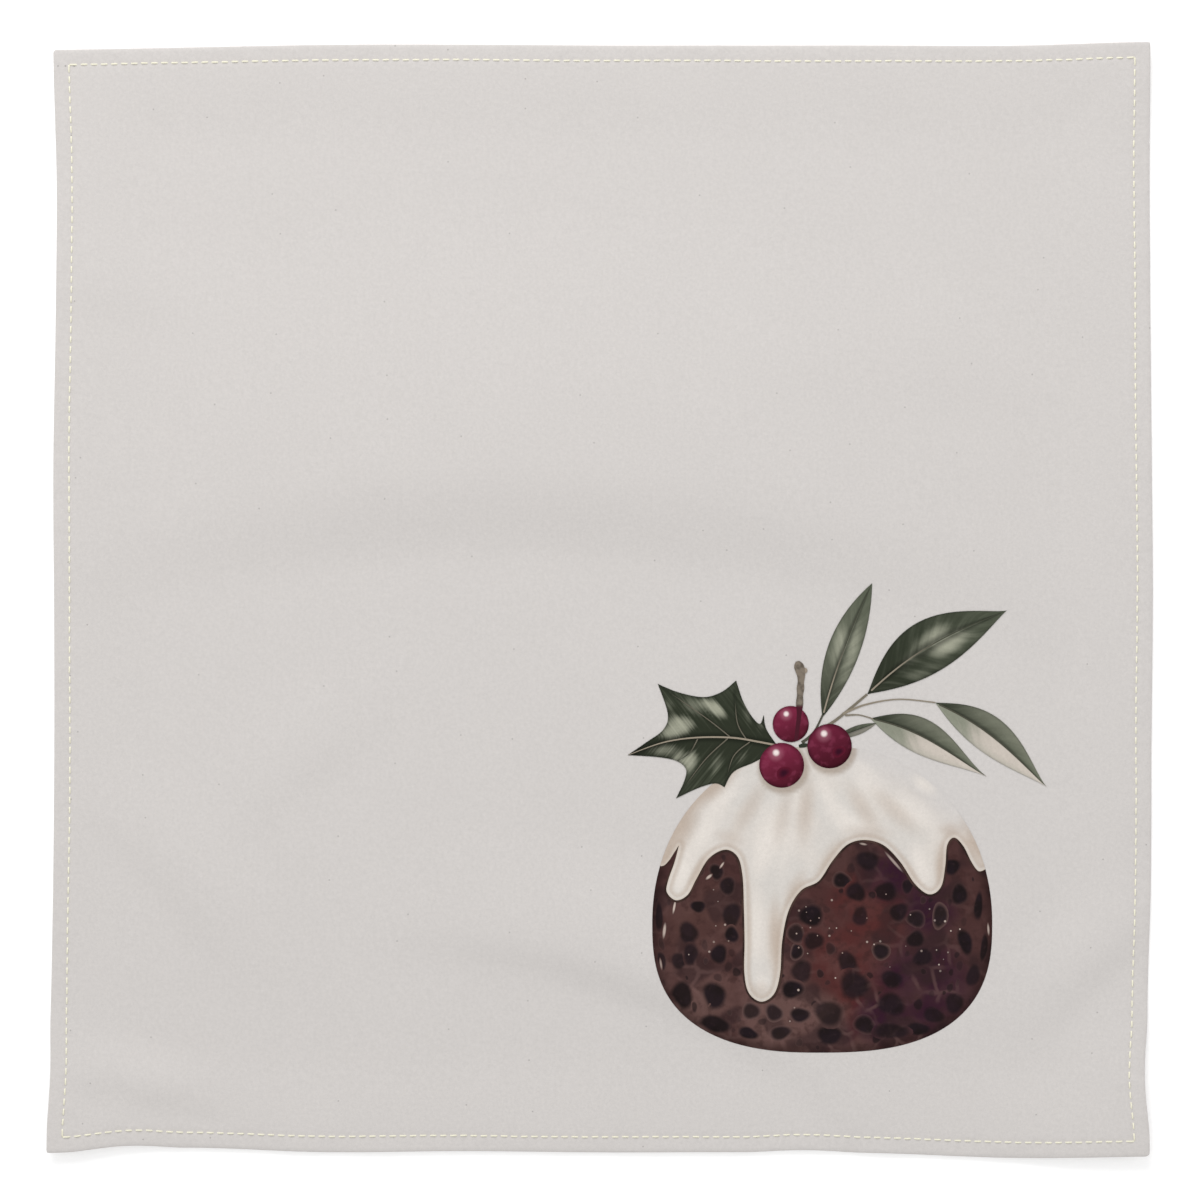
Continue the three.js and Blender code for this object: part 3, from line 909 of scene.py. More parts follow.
class Dye:
    """The shapes printed in one dye, in the making, and how they are laid on the cloth."""

    GAP = 0.07 * MM  # between the cloth's face and the lowest film
    STEP = 0.025 * MM  # between one level of the print and the next
    SUBSTEP = 0.003  # in mm, between shapes that overlap at one level
    NEAR = 0.01  # in mm, a vertex this near a cut is moved into it
    ROUNDED = 50  # the films' faces that meet at less than this, in degrees, are shaded as one

    def __init__(self, context):
        self.sizes = context.scene.napkin_print
        self.lie = Lie(context.scene.napkin_cloth)
        self.face = context.scene.napkin_cloth.thickness + self.GAP
        self.bm = bmesh.new()

    def shape(self, outline, cell=2.5, rim=0.0, step=0, **rules):
        """Adds a filled outline.

        Over an oval's rim, a share of its radius, the mark called rim goes from 0 to 1. A step is a small
        rise, which parts a shape from those that it overlaps. A rule gives a mark of its own name.
        """
        bm = bmesh.new()
        layer = bm.verts.layers.float.new("rim") if rim else None
        edge = [bm.verts.new((p[0], p[1], 0)) for p in outline]
        if rim:
            middle = sum((v.co for v in edge), Vector()) / len(edge)
            loop = [bm.edges.new(pair) for pair in zip(edge, edge[1:] + edge[:1])]
            inner, inner_loop = extruded(bm, loop)
            for v in inner:
                v.co = middle + (v.co - middle) * (1 - rim)
                v[layer] = 1.0
            bmesh.ops.contextual_create(bm, geom=inner_loop)
        else:
            bm.faces.new(edge)
        face_up(bm)
        bmesh.ops.triangulate(bm, faces=bm.faces)
        for axis in (0, 1):
            ends = [v.co[axis] for v in bm.verts]
            for k in range(math.floor(min(ends) / cell) + 1, math.ceil(max(ends) / cell)):
                cut_across(bm, axis, k * cell, self.NEAR)
        self.take(bm, step, rules)

    def ribbon(self, points, widths, step=0, **rules):
        """Adds a band along points, as wide as the list of widths says."""
        bm = bmesh.new()
        stops = [Vector((p[0], p[1], 0)) for p in points]
        line = [bm.verts.new(p) for p in stops]
        moved, _ = extruded(bm, [bm.edges.new(pair) for pair in zip(line, line[1:])])
        far = {tuple(v.co): v for v in moved}
        for i, p in enumerate(stops):
            ahead = stops[min(i + 1, len(stops) - 1)] - stops[max(i - 1, 0)]
            width = through(widths, i / (len(stops) - 1) * (len(widths) - 1))
            side = Vector((-ahead.y, ahead.x, 0)).normalized() * width / 2
            far[tuple(p)].co = p + side
            line[i].co = p - side
        layer = bm.verts.layers.float.new("side")
        for v in bm.verts:
            v[layer] = 1.0 if v in moved else -1.0
        face_up(bm)
        self.take(bm, step, rules)

    def take(self, bm, step, rules):
        """Takes in a finished shape with the marks that the rules give."""
        for name, rule in rules.items():
            layer = bm.verts.layers.float.new(name)
            for v in bm.verts:
                v[layer] = rule(v.co) if callable(rule) else rule
        bmesh.ops.translate(bm, verts=bm.verts, vec=(0, 0, step * self.SUBSTEP))
        mesh = bpy.data.meshes.new("shape")
        bm.to_mesh(mesh)
        bm.free()
        self.bm.from_mesh(mesh)
        bpy.data.meshes.remove(mesh)

    def lay(self, name, material, level):
        """Lays the shapes on the cloth at their level of the print, as one piece with a film's thickness."""
        bm = self.bm
        made = bmesh.ops.extrude_face_region(bm, geom=bm.faces[:], use_keep_orig=True)["geom"]
        sink = bm.verts.layers.float.get("sink")
        for v in bm.verts:
            x, y, step = v.co * MM + Vector((*self.sizes.place, 0))
            rise = level * self.STEP * (1 - v[sink] if sink else 1)
            v.co = (x, y, self.lie.lift(x, y) + self.face + rise + step)
        bmesh.ops.translate(bm, verts=only(made, bmesh.types.BMVert), vec=(0, 0, self.sizes.film))
        bmesh.ops.recalc_face_normals(bm, faces=bm.faces)
        piece = finished(name, bm, material)
        piece.data.set_sharp_from_angle(angle=math.radians(self.ROUNDED))


# ------------------------------------------------ the dyes


def dye(name, colour):
    return Finish(name, colour, 0.95, specular=0.08)


# Tones of the crumb: the patches that have each, as a middle and a reach in mm, and the tone's shares of the
# sponge's colour.
CRUMB_TONES = (
    (((12, -6, 34), (24, 12, 22), (20, -34, 24)), (1.3, 0.80, 0.80)),
    (((-52, -2, 30), (-54, -26, 22)), (1.25, 1.35, 1.25)),
    (((46, -30, 32), (3, -52, 14), (50, 8, 18), (30, 22, 16), (26, -44, 16)), (0.50, 0.34, 0.78)),
    (((-22, -44, 28), (-2, -46, 18), (-58, -42, 22)), (1.9, 2.35, 2.2)),
)


def crumb(f, sizes):
    """The pudding between its fruits: brown with pale crumbs, redder in its middle, purple to the right."""
    base = sizes.sponge
    middle, waist = sizes.place
    here = f.where()
    x, y, _ = f.split(here)
    low = f.fade(y, waist + 5 * MM, waist - 50 * MM)
    left = f.fade(x, middle + 45 * MM, middle - 20 * MM)
    cloud = f.fade(f.noise(here, 45, 2), 0.20, 0.58)
    colour = base
    for spots, shares in CRUMB_TONES:
        for x_mm, y_mm, reach in spots:
            away = f.away(here, (middle + x_mm * MM, waist + y_mm * MM, 0))
            colour = f.over(colour, tinted(base, *shares), f.fade(away, reach * MM, 0.35 * reach * MM), cloud)
    crumbs = f.fade(f.noise(here, 75, 2), 0.44, 0.62)
    pale = tinted(base, 2.0, 2.4, 2.3)
    colour = f.over(colour, pale, crumbs, f.plus(low, 0.52, 0.24), f.plus(left, 0.78, 0.22))
    colour = f.over(colour, tinted(base, 0.6), f.fade(f.noise(here, 230, 3), 0.48, 0.68), 0.5)
    colour = f.over(colour, tinted(base, 0.46, 0.54, 0.62), f.fade(f.noise(here, 62, 1), 0.50, 0.62), 0.62)
    drift = f.add("TexNoise", {"Vector": here, "Scale": 120.0}).outputs["Color"]
    bent = f.vector("ADD", here, f.vector("MULTIPLY", drift, (4 * MM,) * 3))
    cells = {"Vector": bent, "Scale": 100.0}
    crack = f.add("TexVoronoi", cells, feature="DISTANCE_TO_EDGE", voronoi_dimensions="2D")
    line = f.fade(crack.outputs["Distance"], 0.14, 0.02)
    shown = f.times(f.fade(f.noise(here, 60, 2), 0.44, 0.66), f.plus(low, 0.35, 0.12))
    return f.over(colour, tinted(base, 2.6, 3.3, 3.2), line, shown)


def darker_edge(f, colour, strength):
    """Shades a colour of the pudding towards the pudding's outline."""
    return f.dim(colour, f.fade(f.attribute("edge"), 6.0, 0.0), strength)


def pudding_dye(sizes):
    f = dye("pudding dye", sizes.sponge)
    return woven(f, darker_edge(f, crumb(f, sizes), 0.45))


def fruit_dye(sizes):
    """A dark fruit that softens into the pudding round it, inside a paler ring where it is marked for one."""
    f = dye("fruit dye", sizes.fruit)
    cloud = f.fade(f.noise(f.where(), 130, 2), 0.42, 0.60)
    skin = f.mix(cloud, sizes.fruit, tinted(sizes.fruit, 1.3, 1.25, 1.5))
    grain = f.fade(f.noise(f.where(), 420, 2), 0.55, 0.75)
    skin = f.over(skin, tinted(sizes.fruit, 2.6, 2.3, 2.4), grain, 0.5)
    rim, halo = f.attribute("rim"), f.attribute("halo")
    colour = f.over(crumb(f, sizes), tinted(sizes.sponge, 1.9, 2.5, 2.4), f.fade(rim, 0.0, 0.2), halo, halo)
    colour = f.over(colour, skin, f.fade(rim, 0.0, 0.78), f.attribute("depth"))
    return woven(f, darker_edge(f, colour, 0.35))


def gloss_dye(sizes):
    f = dye("gloss dye", (0.60, 0.50, 0.45))
    solid = f.fade(f.attribute("rim"), 0.0, 1.0)
    return woven(f, f.over(crumb(f, sizes), (0.58, 0.48, 0.42), solid, f.attribute("depth"), 0.9))


def outline_dye():
    f = dye("drip outline dye", (0.05, 0.026, 0.02))
    tone = f.fade(f.noise(f.where(), 90, 2), 0.35, 0.65)
    return woven(f, f.mix(tone, (0.026, 0.015, 0.013), (0.065, 0.037, 0.030)))


def icing_dye(sizes):
    """White icing that turns beige in its folds and along its drips, with shine between them."""
    f = dye("icing dye", sizes.icing)
    white = sizes.icing
    beige = tinted(white, 0.70, 0.61, 0.54)
    drip, shine, soft = f.attribute("drip"), f.attribute("shine"), f.attribute("soft")
    cloud = f.fade(f.noise(f.where(), 30, 2), 0.40, 0.62)
    colour = f.over(white, tinted(white, 0.93, 0.95, 0.965), cloud, 0.8)
    colour = f.over(colour, tinted(white, 1.11), shine)
    colour = f.over(colour, beige, f.attribute("fold"), 0.85)
    colour = f.over(colour, beige, f.fade(drip, 0.6, 1.8), f.fade(drip, 4.2, 1.8), 0.52)
    colour = f.over(colour, tinted(white, 0.86, 0.78, 0.68), f.fade(drip, 1.0, 0.3), 0.5)
    colour = f.over(colour, bpy.context.scene.napkin_cloth.colour, soft, 0.95)
    colour = f.over(colour, tinted(white, 1.08), soft, shine)
    return woven(f, f.over(colour, tinted(white, 0.52, 0.45, 0.39), f.attribute("shade"), 0.75))


def leaf_tones(leaf):
    """The leaves' dark, middling and pale greens."""
    return tinted(leaf, 0.66, 0.64, 0.60), tinted(leaf, 2.6, 2.4, 2.5), tinted(leaf, 10.0, 8.2, 9.5)


def holly_dye(sizes):
    """Streaked green, darker beside its rib and veins, with pale brushed light."""
    f = dye("holly dye", sizes.leaf)
    dark, mid, pale = leaf_tones(sizes.leaf)
    off, light = f.attribute("rib"), f.attribute("light")
    streak = f.streaks(f.plus(off, 0.02, f.attribute("fan")), f.times(off, 0.05), 0.75)
    tone = f.plus(light, 0.45, f.plus(off, 0.012, f.times(streak, 0.72)))
    colour = f.over(dark, mid, f.fade(tone, 0.42, 1.08), 0.9)
    colour = f.over(colour, pale, f.fade(f.plus(streak, 0.70, light), 0.42, 1.42), 0.88)
    colour = f.dim(colour, f.fade(off, 3.0, 0.4), 0.5)
    colour = f.dim(colour, f.fade(f.attribute("vein"), 1.5, 0.2), 0.32)
    return woven(f, f.dim(colour, f.fade(f.attribute("edge"), 1.4, 0.0), 0.3))


def sprig_dye(sizes):
    """Green, darker at its base and midrib. A turned leaf shows its pale underside below the midrib."""
    f = dye("sprig dye", sizes.leaf)
    dark, mid, pale = leaf_tones(sizes.leaf)
    side, along = f.attribute("side"), f.attribute("along")
    light, turned, lightness = f.attribute("light"), f.attribute("turned"), f.attribute("lightness")
    off = f.math("ABSOLUTE", side)
    streak = f.streaks(f.plus(off, -2.6, f.times(along, 17.0)), f.times(side, 0.5), 1.0)
    tone = f.plus(lightness, 0.40, f.plus(light, 0.45, f.plus(along, 0.42, f.times(streak, 0.40))))
    colour = f.mix(f.fade(tone, 0.20, 0.90), dark, mid)
    colour = f.over(colour, pale, f.fade(along, 0.02, 0.35), f.fade(along, 1.05, 0.60), lightness, 0.45)
    colour = f.over(colour, pale, f.fade(f.plus(streak, 0.60, light), 0.28, 1.42), 0.95)
    colour = f.over(colour, pale, f.fade(side, 0.10, 0.85), f.fade(along, 0.05, 0.40), turned, 0.20)
    grey = f.plus(streak, 0.55, f.times(f.fade(along, 0.55, 0.08), 0.95))
    beige = f.mix(f.fade(grey, 0.20, 1.10), tinted(pale, 1.42, 1.27, 1.44), tinted(pale, 0.60, 0.62, 0.62))
    beige = f.over(beige, tinted(pale, 0.75, 0.78, 0.80), f.fade(side, -0.45, -1.0), 0.35)
    colour = f.over(colour, beige, f.fade(side, 0.04, -0.08), turned)
    colour = f.dim(colour, f.fade(side, 0.0, 0.05), f.fade(side, 0.30, 0.06), 0.50)
    unturned = f.math("SUBTRACT", 1.0, turned)
    colour = f.dim(colour, f.fade(side, -0.04, -0.08), f.fade(side, -0.34, -0.08), unturned, 0.45)
    return woven(f, f.dim(colour, f.fade(off, 0.86, 1.0), 0.26))


def vein_dye():
    f = dye("vein dye", (0.24, 0.20, 0.15))
    return woven(f, f.mix(f.attribute("dark"), (0.31, 0.265, 0.205), (0.030, 0.036, 0.024)))


def twig_dye(sizes):
    """Pale brown bark, darker at its edges, that reddens where it lies over the berry."""
    f = dye("twig dye", sizes.twig)
    side = f.attribute("side")
    bark = f.mix(f.fade(f.noise(f.where(), 360, 3), 0.38, 0.60), sizes.twig, tinted(sizes.twig, 1.85))
    bark = f.dim(bark, f.fade(f.times(side, side), 0.35, 1.0), 0.45)
    return woven(f, f.mix(f.attribute("sunk"), bark, tinted(sizes.berry, 0.40, 0.9, 0.6)))


def berry_dye(sizes):
    """A round red berry lit from its upper left."""
    f = dye("berry dye", sizes.berry)
    red = sizes.berry
    x, y = f.attribute("berry_x"), f.attribute("berry_y")
    tone = f.plus(y, 0.55, f.times(x, -0.25))
    colour = f.mix(f.fade(tone, -0.7, 0.7), tinted(red, 0.46, 0.6, 0.50), tinted(red, 1.26, 1.7, 1.6))
    colour = f.dim(colour, f.fade(f.math("ADD", f.times(x, x), f.times(y, y)), 0.60, 1.02), 0.48)
    colour = f.dim(colour, f.attribute("shadow"))
    colour = f.over(colour, tinted(red, 1.6, 3.4, 2.6), f.fade(f.noise(f.where(), 240, 2), 0.50, 0.70), 0.35)
    for spot_x, spot_y, size, strength, light in BERRY_LIGHT:
        dx, dy = f.math("SUBTRACT", x, spot_x), f.math("SUBTRACT", y, spot_y)
        far = f.math("SQRT", f.math("ADD", f.times(dx, dx), f.times(dy, dy)))
        colour = f.over(colour, light, f.fade(far, size, size * 0.3), strength)
    return woven(f, colour)


def berry_end_dye(sizes):
    f = dye("berry end dye", (0.05, 0.006, 0.02))
    outer, inner = tinted(sizes.berry, 0.62, 0.65, 0.65), tinted(sizes.berry, 0.22, 0.35, 0.42)
    return woven(f, f.mix(f.fade(f.attribute("rim"), 0.0, 1.0), outer, inner))


# ------------------------------------------------ the print


class Pudding:
    """The pudding's outline and the icing's, and where a place is to them."""

    def __init__(self, sizes):
        self.outline = silhouette(sizes)[:-1]
        self.edge = from_line(self.outline, closed=True)
        drips, dome = icing_outline(sizes)
        self.icing = drips + dome

    def depth(self, p):
        """How far inside the pudding's outline a place is, and -1 outside it."""
        return self.edge(p) if inside(p, self.outline) else -1

    def drawn_in(self, p):
        """A place, drawn in towards the waist's middle until it is inside the pudding."""
        while self.depth(p) < 0.3:
            p = p * 0.995
        return p

    def hidden(self, p, size):
        """Whether a fruit lies under the icing."""
        return inside(p + Vector((0, -size * 0.9)), self.icing)


class NAPKIN_OT_pudding(Operator):
    """Print the pudding, with its fruits and its gloss"""

    bl_idname = "napkin.pudding"
    bl_label = "Print the Pudding"

    COVERED = 46  # the pudding's dye ends at this height, in mm, under the icing
    TUCK = 3  # in mm, it follows the outline this far up under the icing's ends
    DRAWN_IN = 2  # in mm, and above that it stays this far inside the outline
    CLEAR = 2.4  # in mm, between two specks of gloss
    TRIES = 200  # at placing each small fruit
    SOFT = 0.55  # this share of a fruit's radius fades into the pudding
    # For the large fruits (True) and the small ones (False):
    SWELL = {True: 1.3, False: 1.15}  # the dye fades out at this many times the fruit's size
    DARK = {True: (0.82, 1.0), False: (0.35, 0.8)}  # how dark a fruit is at least and at most

    def lay_sponge(self, context, pudding):
        sponge = Dye(context)
        covered = [
            p - self.DRAWN_IN * p.normalized() if iced(p, self.TUCK) else p
            for p in pudding.outline if p.y < self.COVERED
        ]
        sponge.shape(covered, cell=3.0, edge=pudding.edge)
        sponge.lay("pudding", pudding_dye(context.scene.napkin_print), 0)

    def small_fruits(self, sizes, pudding, pick):
        """Small fruits between the large ones, narrower towards the sides."""
        waist, base = sizes.waist / MM, sizes.base / MM
        placed = [(Vector((x, y)), (wide + high) / 2) for x, y, wide, high, _ in FRUITS]
        small = []
        for _ in range(self.TRIES * sizes.fruits):
            if len(small) == sizes.fruits:
                break
            p = Vector((pick.uniform(-waist, waist), pick.uniform(-base, 0.6 * base)))
            size = pick.uniform(1.0, 2.8)
            close = any((p - other).length < 0.95 * (size + reach) for other, reach in placed)
            if not close and pudding.depth(p) > size * 0.6 and not pudding.hidden(p, size):
                placed.append((p, size))
                narrow = max(0.5, math.sqrt(1 - (p.x / waist) ** 2))
                small.append((p.x, p.y, size * narrow, size * pick.uniform(0.8, 1.2), pick.uniform(0, 0.5)))
        return small

    def lay_fruits(self, context, pudding):
        sizes = context.scene.napkin_print
        pick = random.Random(sizes.seed)
        fruits = Dye(context)
        laid = []
        small = self.small_fruits(sizes, pudding, pick)
        for number, (x, y, wide, high, halo) in enumerate([*FRUITS, *small]):
            large = number < len(FRUITS)
            swell, reach = self.SWELL[large], max(wide, high)
            near = {step for a, b, other, step in laid if math.hypot(x - a, y - b) < 1.5 * (other + reach)}
            step = next(n for n in range(len(near) + 1) if n not in near)
            laid.append((x, y, reach, step))
            lean, wobble = 0.2 * pick.uniform(-1, 1), (pick.uniform(0.1, 6), pick.uniform(0.1, 6))
            oval = round_at(x, y, wide * swell, high * swell, lean, 20, wobble)
            fruits.shape(
                [pudding.drawn_in(p) for p in oval], cell=3.0, rim=self.SOFT, step=step, edge=pudding.edge,
                depth=pick.uniform(*self.DARK[large]), halo=halo,
            )
        fruits.lay("pudding_fruits", fruit_dye(sizes), 1)

    def lay_gloss(self, context, pudding):
        sizes = context.scene.napkin_print
        gloss = Dye(context)
        for x0, y0, x1, y1, width, depth in GLOSS:
            run = Vector((x1 - x0, y1 - y0))
            middle, reach = ((x0 + x1) / 2, (y0 + y1) / 2), run.length / 2 + width / 2
            oval = round_at(*middle, reach, width / 2, run.angle_signed((1, 0)), 14)
            gloss.shape(oval, cell=3.0, rim=0.7, depth=depth)
        pick = random.Random(sizes.seed + 1)
        spots = [Vector(stroke[:2]) for stroke in GLOSS] + [Vector(stroke[2:4]) for stroke in GLOSS]
        for x, y, spread, count in SPECKS:
            for _ in range(count):
                spot = Vector((pick.gauss(x, spread), pick.gauss(y, spread)))
                size, depth = pick.choice((0.35, 0.45, 0.55, 0.75)), pick.uniform(0.3, 0.9)
                clear = all((spot - other).length > self.CLEAR for other in spots)
                if clear and pudding.depth(spot) > 4 and not inside(spot + Vector((0, 2)), pudding.icing):
                    spots.append(spot)
                    gloss.shape(round_at(spot.x, spot.y, size, size, 0, 7), cell=3.0, rim=0.6, depth=depth)
        gloss.lay("pudding_gloss", gloss_dye(sizes), 3)

    def execute(self, context):
        pudding = Pudding(context.scene.napkin_print)
        self.lay_sponge(context, pudding)
        self.lay_fruits(context, pudding)
        self.lay_gloss(context, pudding)
        return {"FINISHED"}


class NAPKIN_OT_icing(Operator):
    """Print the icing, with a dark outline round its drips"""

    bl_idname = "napkin.icing"
    bl_label = "Print the Icing"

    # The outline's widths along the slit's outer side, and along all the drips, in mm.
    SLIT = (0.4, 0.9, 0.6)
    DRIPS = (0.8, 2.0, 1.8, 2.3, 1.6, 2.4, 2.0, 2.0, 2.5, 1.7, 2.1, 0.8)

    def execute(self, context):
        sizes = context.scene.napkin_print
        outline = Dye(context)
        for run, widths in zip(ICING_EDGE, (self.SLIT, self.DRIPS)):
            outline.ribbon(line_through(run), widths)
        outline.lay("icing_outline", outline_dye(), 4)
        drips, dome = icing_outline(sizes)
        side = from_line(dome)
        folds = brush(ICING_FOLDS)

        def soft(p):
            """How far the icing fades into the cloth, at its upper right."""
            return hump(side(p) / 19) * clamp(p.x / 14) * clamp((p.y - 38) / 16)

        def fold(p):
            """The folds, and a beige edge all round but at the upper right."""
            return min(1, folds(p) + 0.35 * hump(side(p) / 3) * (p.x < 0 or p.y < 50))

        def sink(p):
            """How far the film sinks towards the cloth, round the top."""
            return hump(side(p) / 9) * clamp((p.y - 50) / 8)

        def shade(p):
            """The shadow that the front berries cast, a little below and to the right of them."""
            front = (BERRIES["berry_left"], BERRIES["berry_right"])
            cast = [math.hypot(p.x - x - 0.9, p.y - y + 1.5) - radius for x, y, radius in front]
            return hump(max(0, min(cast)) / 2.8)

        icing = Dye(context)
        icing.shape(
            drips + dome, cell=1.5, drip=from_line(drips), shine=brush(ICING_SHINE), shade=shade, soft=soft,
            fold=fold, sink=sink,
        )
        icing.lay("icing", icing_dye(sizes), 5)
        return {"FINISHED"}


class NAPKIN_OT_holly(Operator):
    """Print the holly leaf and its veins"""

    bl_idname = "napkin.holly"
    bl_label = "Print the Holly"

    RIB_Y = 86  # about how high the rib runs, in mm
    RIB_WIDTH = (0.95, 0.85, 0.75, 0.6, 0.3)
    VEIN_WIDTH = (0.55, 0.42, 0.1)

    def fan(self, p):
        """A mark whose even lines slant away from the rib on both sides, for the streaks."""
        return p.x + (0.75 * (p.y - self.RIB_Y) if p.y > self.RIB_Y else 0.8 * (self.RIB_Y - p.y))

    def dark(self, p, tip):
        """How dark a vein is: it is darkest at its tip, and sinks into the leaf towards the rib."""
        return clamp(1.3 - (p.xy - tip).length / 16, 0.62, 1)

    def execute(self, context):
        sizes = context.scene.napkin_print
        outline = edge_through(HOLLY_EDGE)
        rib = line_through(HOLLY_RIB)
        veins = [from_line(line_through(vein)) for vein in HOLLY_VEINS]
        leaf = Dye(context)
        leaf.shape(
            outline, cell=1.4, edge=from_line(outline, closed=True), rib=from_line(rib),
            light=brush(HOLLY_LIGHT), vein=lambda p: min(away(p) for away in veins), fan=self.fan,
        )
        leaf.lay("holly_leaf", holly_dye(sizes), 6)
        lines = Dye(context)
        for vein in HOLLY_VEINS:
            tip = Vector(vein[-1])
            lines.ribbon(line_through(vein), self.VEIN_WIDTH, dark=lambda p, tip=tip: self.dark(p, tip))
        lines.ribbon(rib, self.RIB_WIDTH, step=3, dark=0.0)
        lines.lay("holly_veins", vein_dye(), 7)
        return {"FINISHED"}


class Leaf:
    """A slender leaf. Its midrib runs halfway between its edges, which bulge from the line of its ends."""

    def __init__(self, base, tip, left, right, widest, turned, lightness):
        self.base = Vector(base)
        self.run = Vector(tip) - self.base
        self.left = Vector((-self.run.y, self.run.x)).normalized()
        self.middle, self.half = (left - right) / 2, (left + right) / 2
        self.widest, self.turned, self.lightness = widest, turned, lightness

    def swell(self, t):
        """The leaf's width at a share of its length: 1 at the widest place, and 0 at both ends."""
        near, far = max(1e-6, t / self.widest), max(1e-6, (1 - t) / (1 - self.widest))
        power = 1.12 if self.widest < 0.48 else 1.0
        return near**power * far ** (power * (1 - self.widest) / self.widest)

    def point(self, t, side):
        """A place at a share of the length, and from -1 at the right edge to 1 at the left one."""
        return self.base + self.run * t + self.left * (self.swell(t) * (self.middle + self.half * side))

    def along(self, p):
        return clamp((p.xy - self.base).dot(self.run) / self.run.length_squared)

    def side(self, p):
        swell = max(self.swell(self.along(p)), 0.02)
        return clamp(((p.xy - self.base).dot(self.left) / swell - self.middle) / self.half, -1, 1)

    def outline(self):
        steps = [(1 - math.cos(math.pi * i / 40)) / 2 for i in range(41)]
        return [self.point(t, -1) for t in steps] + [self.point(t, 1) for t in steps[-2:0:-1]]

    def rib_dark(self, p):
        """How dark the midrib is: pale at the base of an open leaf, and dark along a turned one."""
        return 0.85 if self.turned > 0.5 else clamp(2.6 * self.along(p) - 0.5, 0.1, 0.9)


class NAPKIN_OT_sprig(Operator):
    """Print the sprig's leaves, their midribs and its stems"""

    bl_idname = "napkin.sprig"
    bl_label = "Print the Sprig"

    RIB_WIDTH = (0.75, 0.55, 0.4, 0.2)

    def execute(self, context):
        sizes = context.scene.napkin_print
        light = brush(SPRIG_LIGHT)
        green = sprig_dye(sizes)
        ribs = Dye(context)
        for number, numbers in enumerate(SPRIG, 1):
            leaf = Leaf(*numbers)
            blade = Dye(context)
            blade.shape(
                leaf.outline(), cell=1.8, along=leaf.along, side=leaf.side, light=light, turned=leaf.turned,
                lightness=leaf.lightness,
            )
            blade.lay(f"sprig_leaf_{number}", green, 6)
            if number < len(SPRIG):
                ribs.ribbon([leaf.point(i / 30, 0) for i in range(1, 30)], self.RIB_WIDTH, dark=leaf.rib_dark)
        stems = Dye(context)
        for step, (stem, widths, dark) in enumerate(zip(STEMS, STEM_WIDTHS, STEM_DARK)):
            stems.ribbon(line_through(stem), widths, step=step, dark=dark)
        stems.lay("sprig_stems", vein_dye(), 7)
        ribs.lay("sprig_ribs", vein_dye(), 7.5)
        return {"FINISHED"}


class NAPKIN_OT_berries(Operator):
    """Print the berries and the twig"""

    bl_idname = "napkin.berries"
    bl_label = "Print the Berries"

    SHADOW = {"berry_right": 0.27}  # how much darker than the others a berry is
    LEVEL = {"berry_back": 8, "berry_left": 10, "berry_right": 10}

    def execute(self, context):
        sizes = context.scene.napkin_print
        red = berry_dye(sizes)
        for name, (x, y, radius) in BERRIES.items():
            berry = Dye(context)
            berry.shape(
                round_at(x, y, radius, radius, 0, 48), cell=1.5,
                berry_x=lambda p, x=x, radius=radius: (p.x - x) / radius,
                berry_y=lambda p, y=y, radius=radius: (p.y - y) / radius,
                shadow=self.SHADOW.get(name, 0.0),
            )
            berry.lay(name, red, self.LEVEL[name])
        ends = Dye(context)
        for x, y, radius in BERRY_ENDS:
            ends.shape(round_at(x, y, radius, radius * 0.85, 0.4, 16, (1, 2)), cell=3.0, rim=0.85)
        ends.lay("berry_ends", berry_end_dye(sizes), 11)
        twig = Dye(context)
        _, middle, radius = BERRIES["berry_back"]
        twig.ribbon(line_through(TWIG), TWIG_WIDTH, step=1, sunk=lambda p: clamp(middle + radius + 0.6 - p.y))
        x, y, size = TWIG_BUD
        twig.shape(round_at(x, y, size, size * 1.2, -0.4, 12), cell=3.0, side=0.8, sunk=0.0)
        twig.lay("twig", twig_dye(sizes), 9)
        return {"FINISHED"}


# ------------------------------------------------ the stage


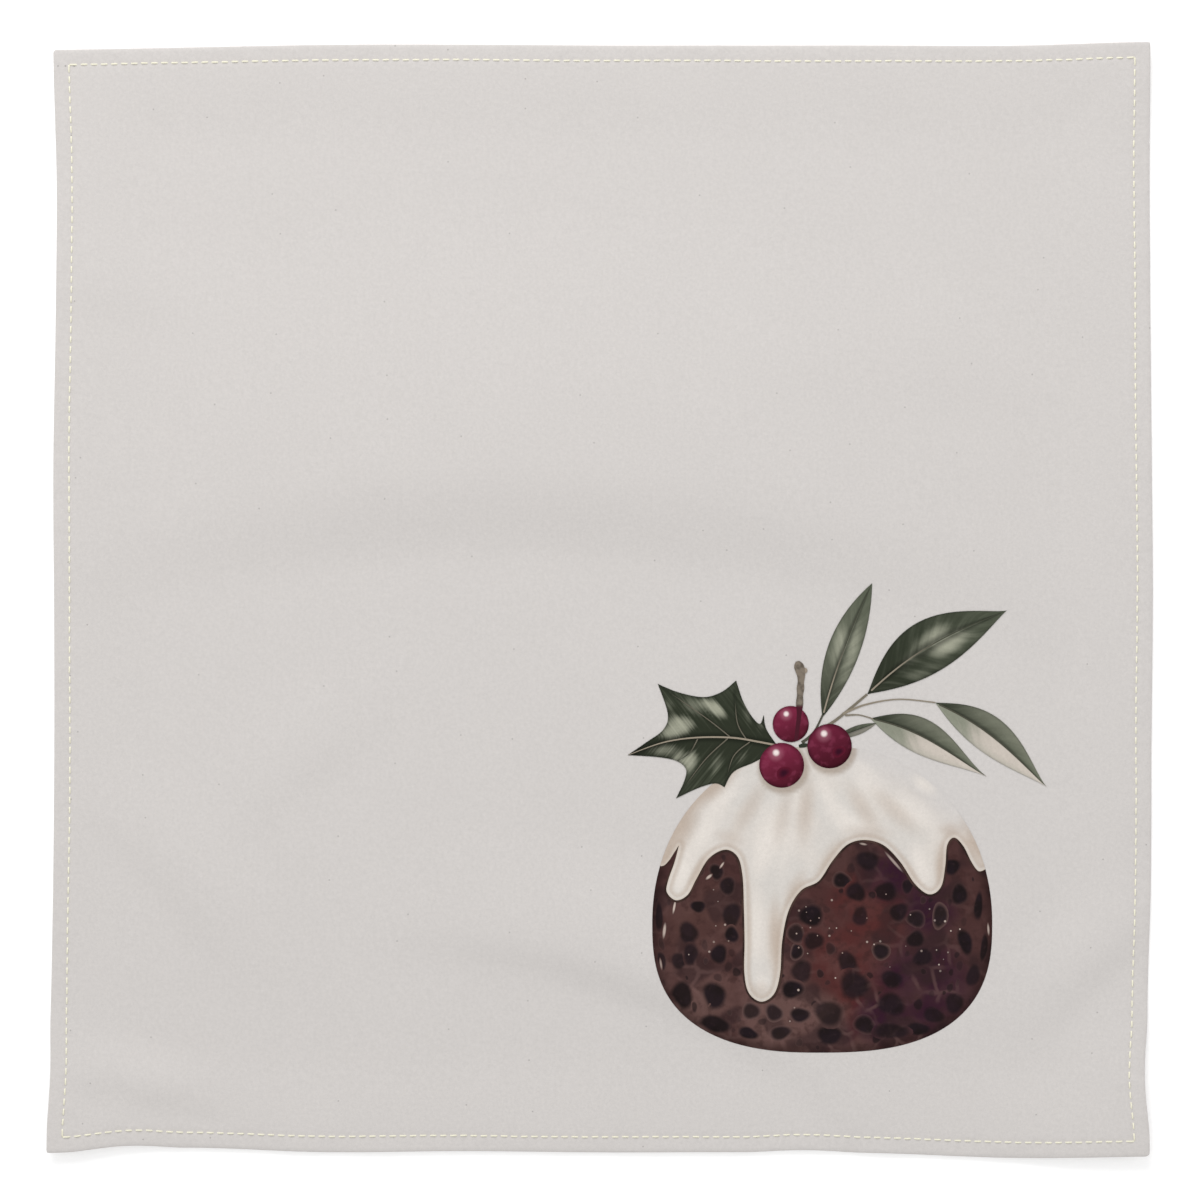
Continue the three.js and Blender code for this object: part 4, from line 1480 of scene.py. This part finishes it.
class NAPKIN_OT_stage(Operator):
    """Set the pale floor, the soft light and the camera straight above"""

    bl_idname = "napkin.stage"
    bl_label = "Set the Stage"

    FLOOR = 6.0  # the floor's radius
    CLEAR = 0.2 * MM  # between the floor and the napkin
    LAMP_SIZE = 1.5
    LAMP_PLACE = (-0.45, 2.0, 1.35)
    LAMP_AIM = (0, 0.05, 0)

    def execute(self, context):
        stage = context.scene.napkin_stage
        scene = context.scene
        scene.view_settings.view_transform = "Standard"
        bm = bmesh.new()
        bmesh.ops.create_circle(bm, cap_ends=True, segments=96, radius=self.FLOOR)
        bmesh.ops.translate(bm, verts=bm.verts, vec=(0, 0, -self.CLEAR))
        mesh = bpy.data.meshes.new("floor")
        bm.to_mesh(mesh)
        bm.free()
        pale = Finish("pale floor", (0.95, 0.95, 0.95), 0.9)
        pale.set(pale.shader, "Emission Color", (1, 1, 1, 1))
        pale.set(pale.shader, "Emission Strength", stage.glow)
        mesh.materials.append(pale.material)
        floor = bpy.data.objects.new("floor", mesh)
        scene.collection.objects.link(floor)

        world = bpy.data.worlds.new("soft studio")
        scene.world = world
        world.use_nodes = True
        sky = world.node_tree.nodes["Background"]
        sky.inputs["Color"].default_value = (1, 1, 1, 1)
        sky.inputs["Strength"].default_value = stage.sky

        lamp = bpy.data.lights.new("soft lamp", "AREA")
        lamp.size = self.LAMP_SIZE
        lamp.energy = stage.lamp
        lit = bpy.data.objects.new("soft lamp", lamp)
        lit.location = self.LAMP_PLACE
        lit.rotation_euler = (Vector(self.LAMP_AIM) - lit.location).to_track_quat("-Z", "Y").to_euler()
        scene.collection.objects.link(lit)

        eye = bpy.data.cameras.new("camera")
        eye.lens = stage.lens
        camera = bpy.data.objects.new("camera", eye)
        camera.location = (0, 0, stage.view * stage.lens / eye.sensor_width)
        scene.collection.objects.link(camera)
        scene.camera = camera
        return {"FINISHED"}


# ------------------------------------------------ the add-on


class NAPKIN_PT_panel(Panel):
    """The napkin's steps and sizes."""

    bl_idname = "NAPKIN_PT_panel"
    bl_label = "Printed Napkin"
    bl_space_type = "VIEW_3D"
    bl_region_type = "UI"
    bl_category = "Napkin"

    def draw(self, context):
        layout = self.layout
        for step in STEPS:
            layout.operator(step.bl_idname)
        for name in GROUPS:
            box = layout.box()
            group = getattr(context.scene, name)
            for prop in group.bl_rna.properties:
                if prop.identifier not in ("rna_type", "name"):
                    box.prop(group, prop.identifier)


STEPS = (
    NAPKIN_OT_cloth, NAPKIN_OT_stitches, NAPKIN_OT_pudding, NAPKIN_OT_icing, NAPKIN_OT_holly, NAPKIN_OT_sprig,
    NAPKIN_OT_berries, NAPKIN_OT_stage,
)
GROUPS = {"napkin_cloth": NapkinCloth, "napkin_print": NapkinPrint, "napkin_stage": NapkinStage}


def register():
    for cls in (*GROUPS.values(), *STEPS, NAPKIN_PT_panel):
        bpy.utils.register_class(cls)
    for name, group in GROUPS.items():
        setattr(bpy.types.Scene, name, PointerProperty(type=group))


def unregister():
    for name in GROUPS:
        delattr(bpy.types.Scene, name)
    for cls in (NAPKIN_PT_panel, *reversed(STEPS), *GROUPS.values()):
        bpy.utils.unregister_class(cls)


def main():
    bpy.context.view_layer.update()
    register()
    for step in STEPS:
        getattr(bpy.ops.napkin, step.bl_idname.split(".")[1])()


if __name__ == "__main__":
    main()
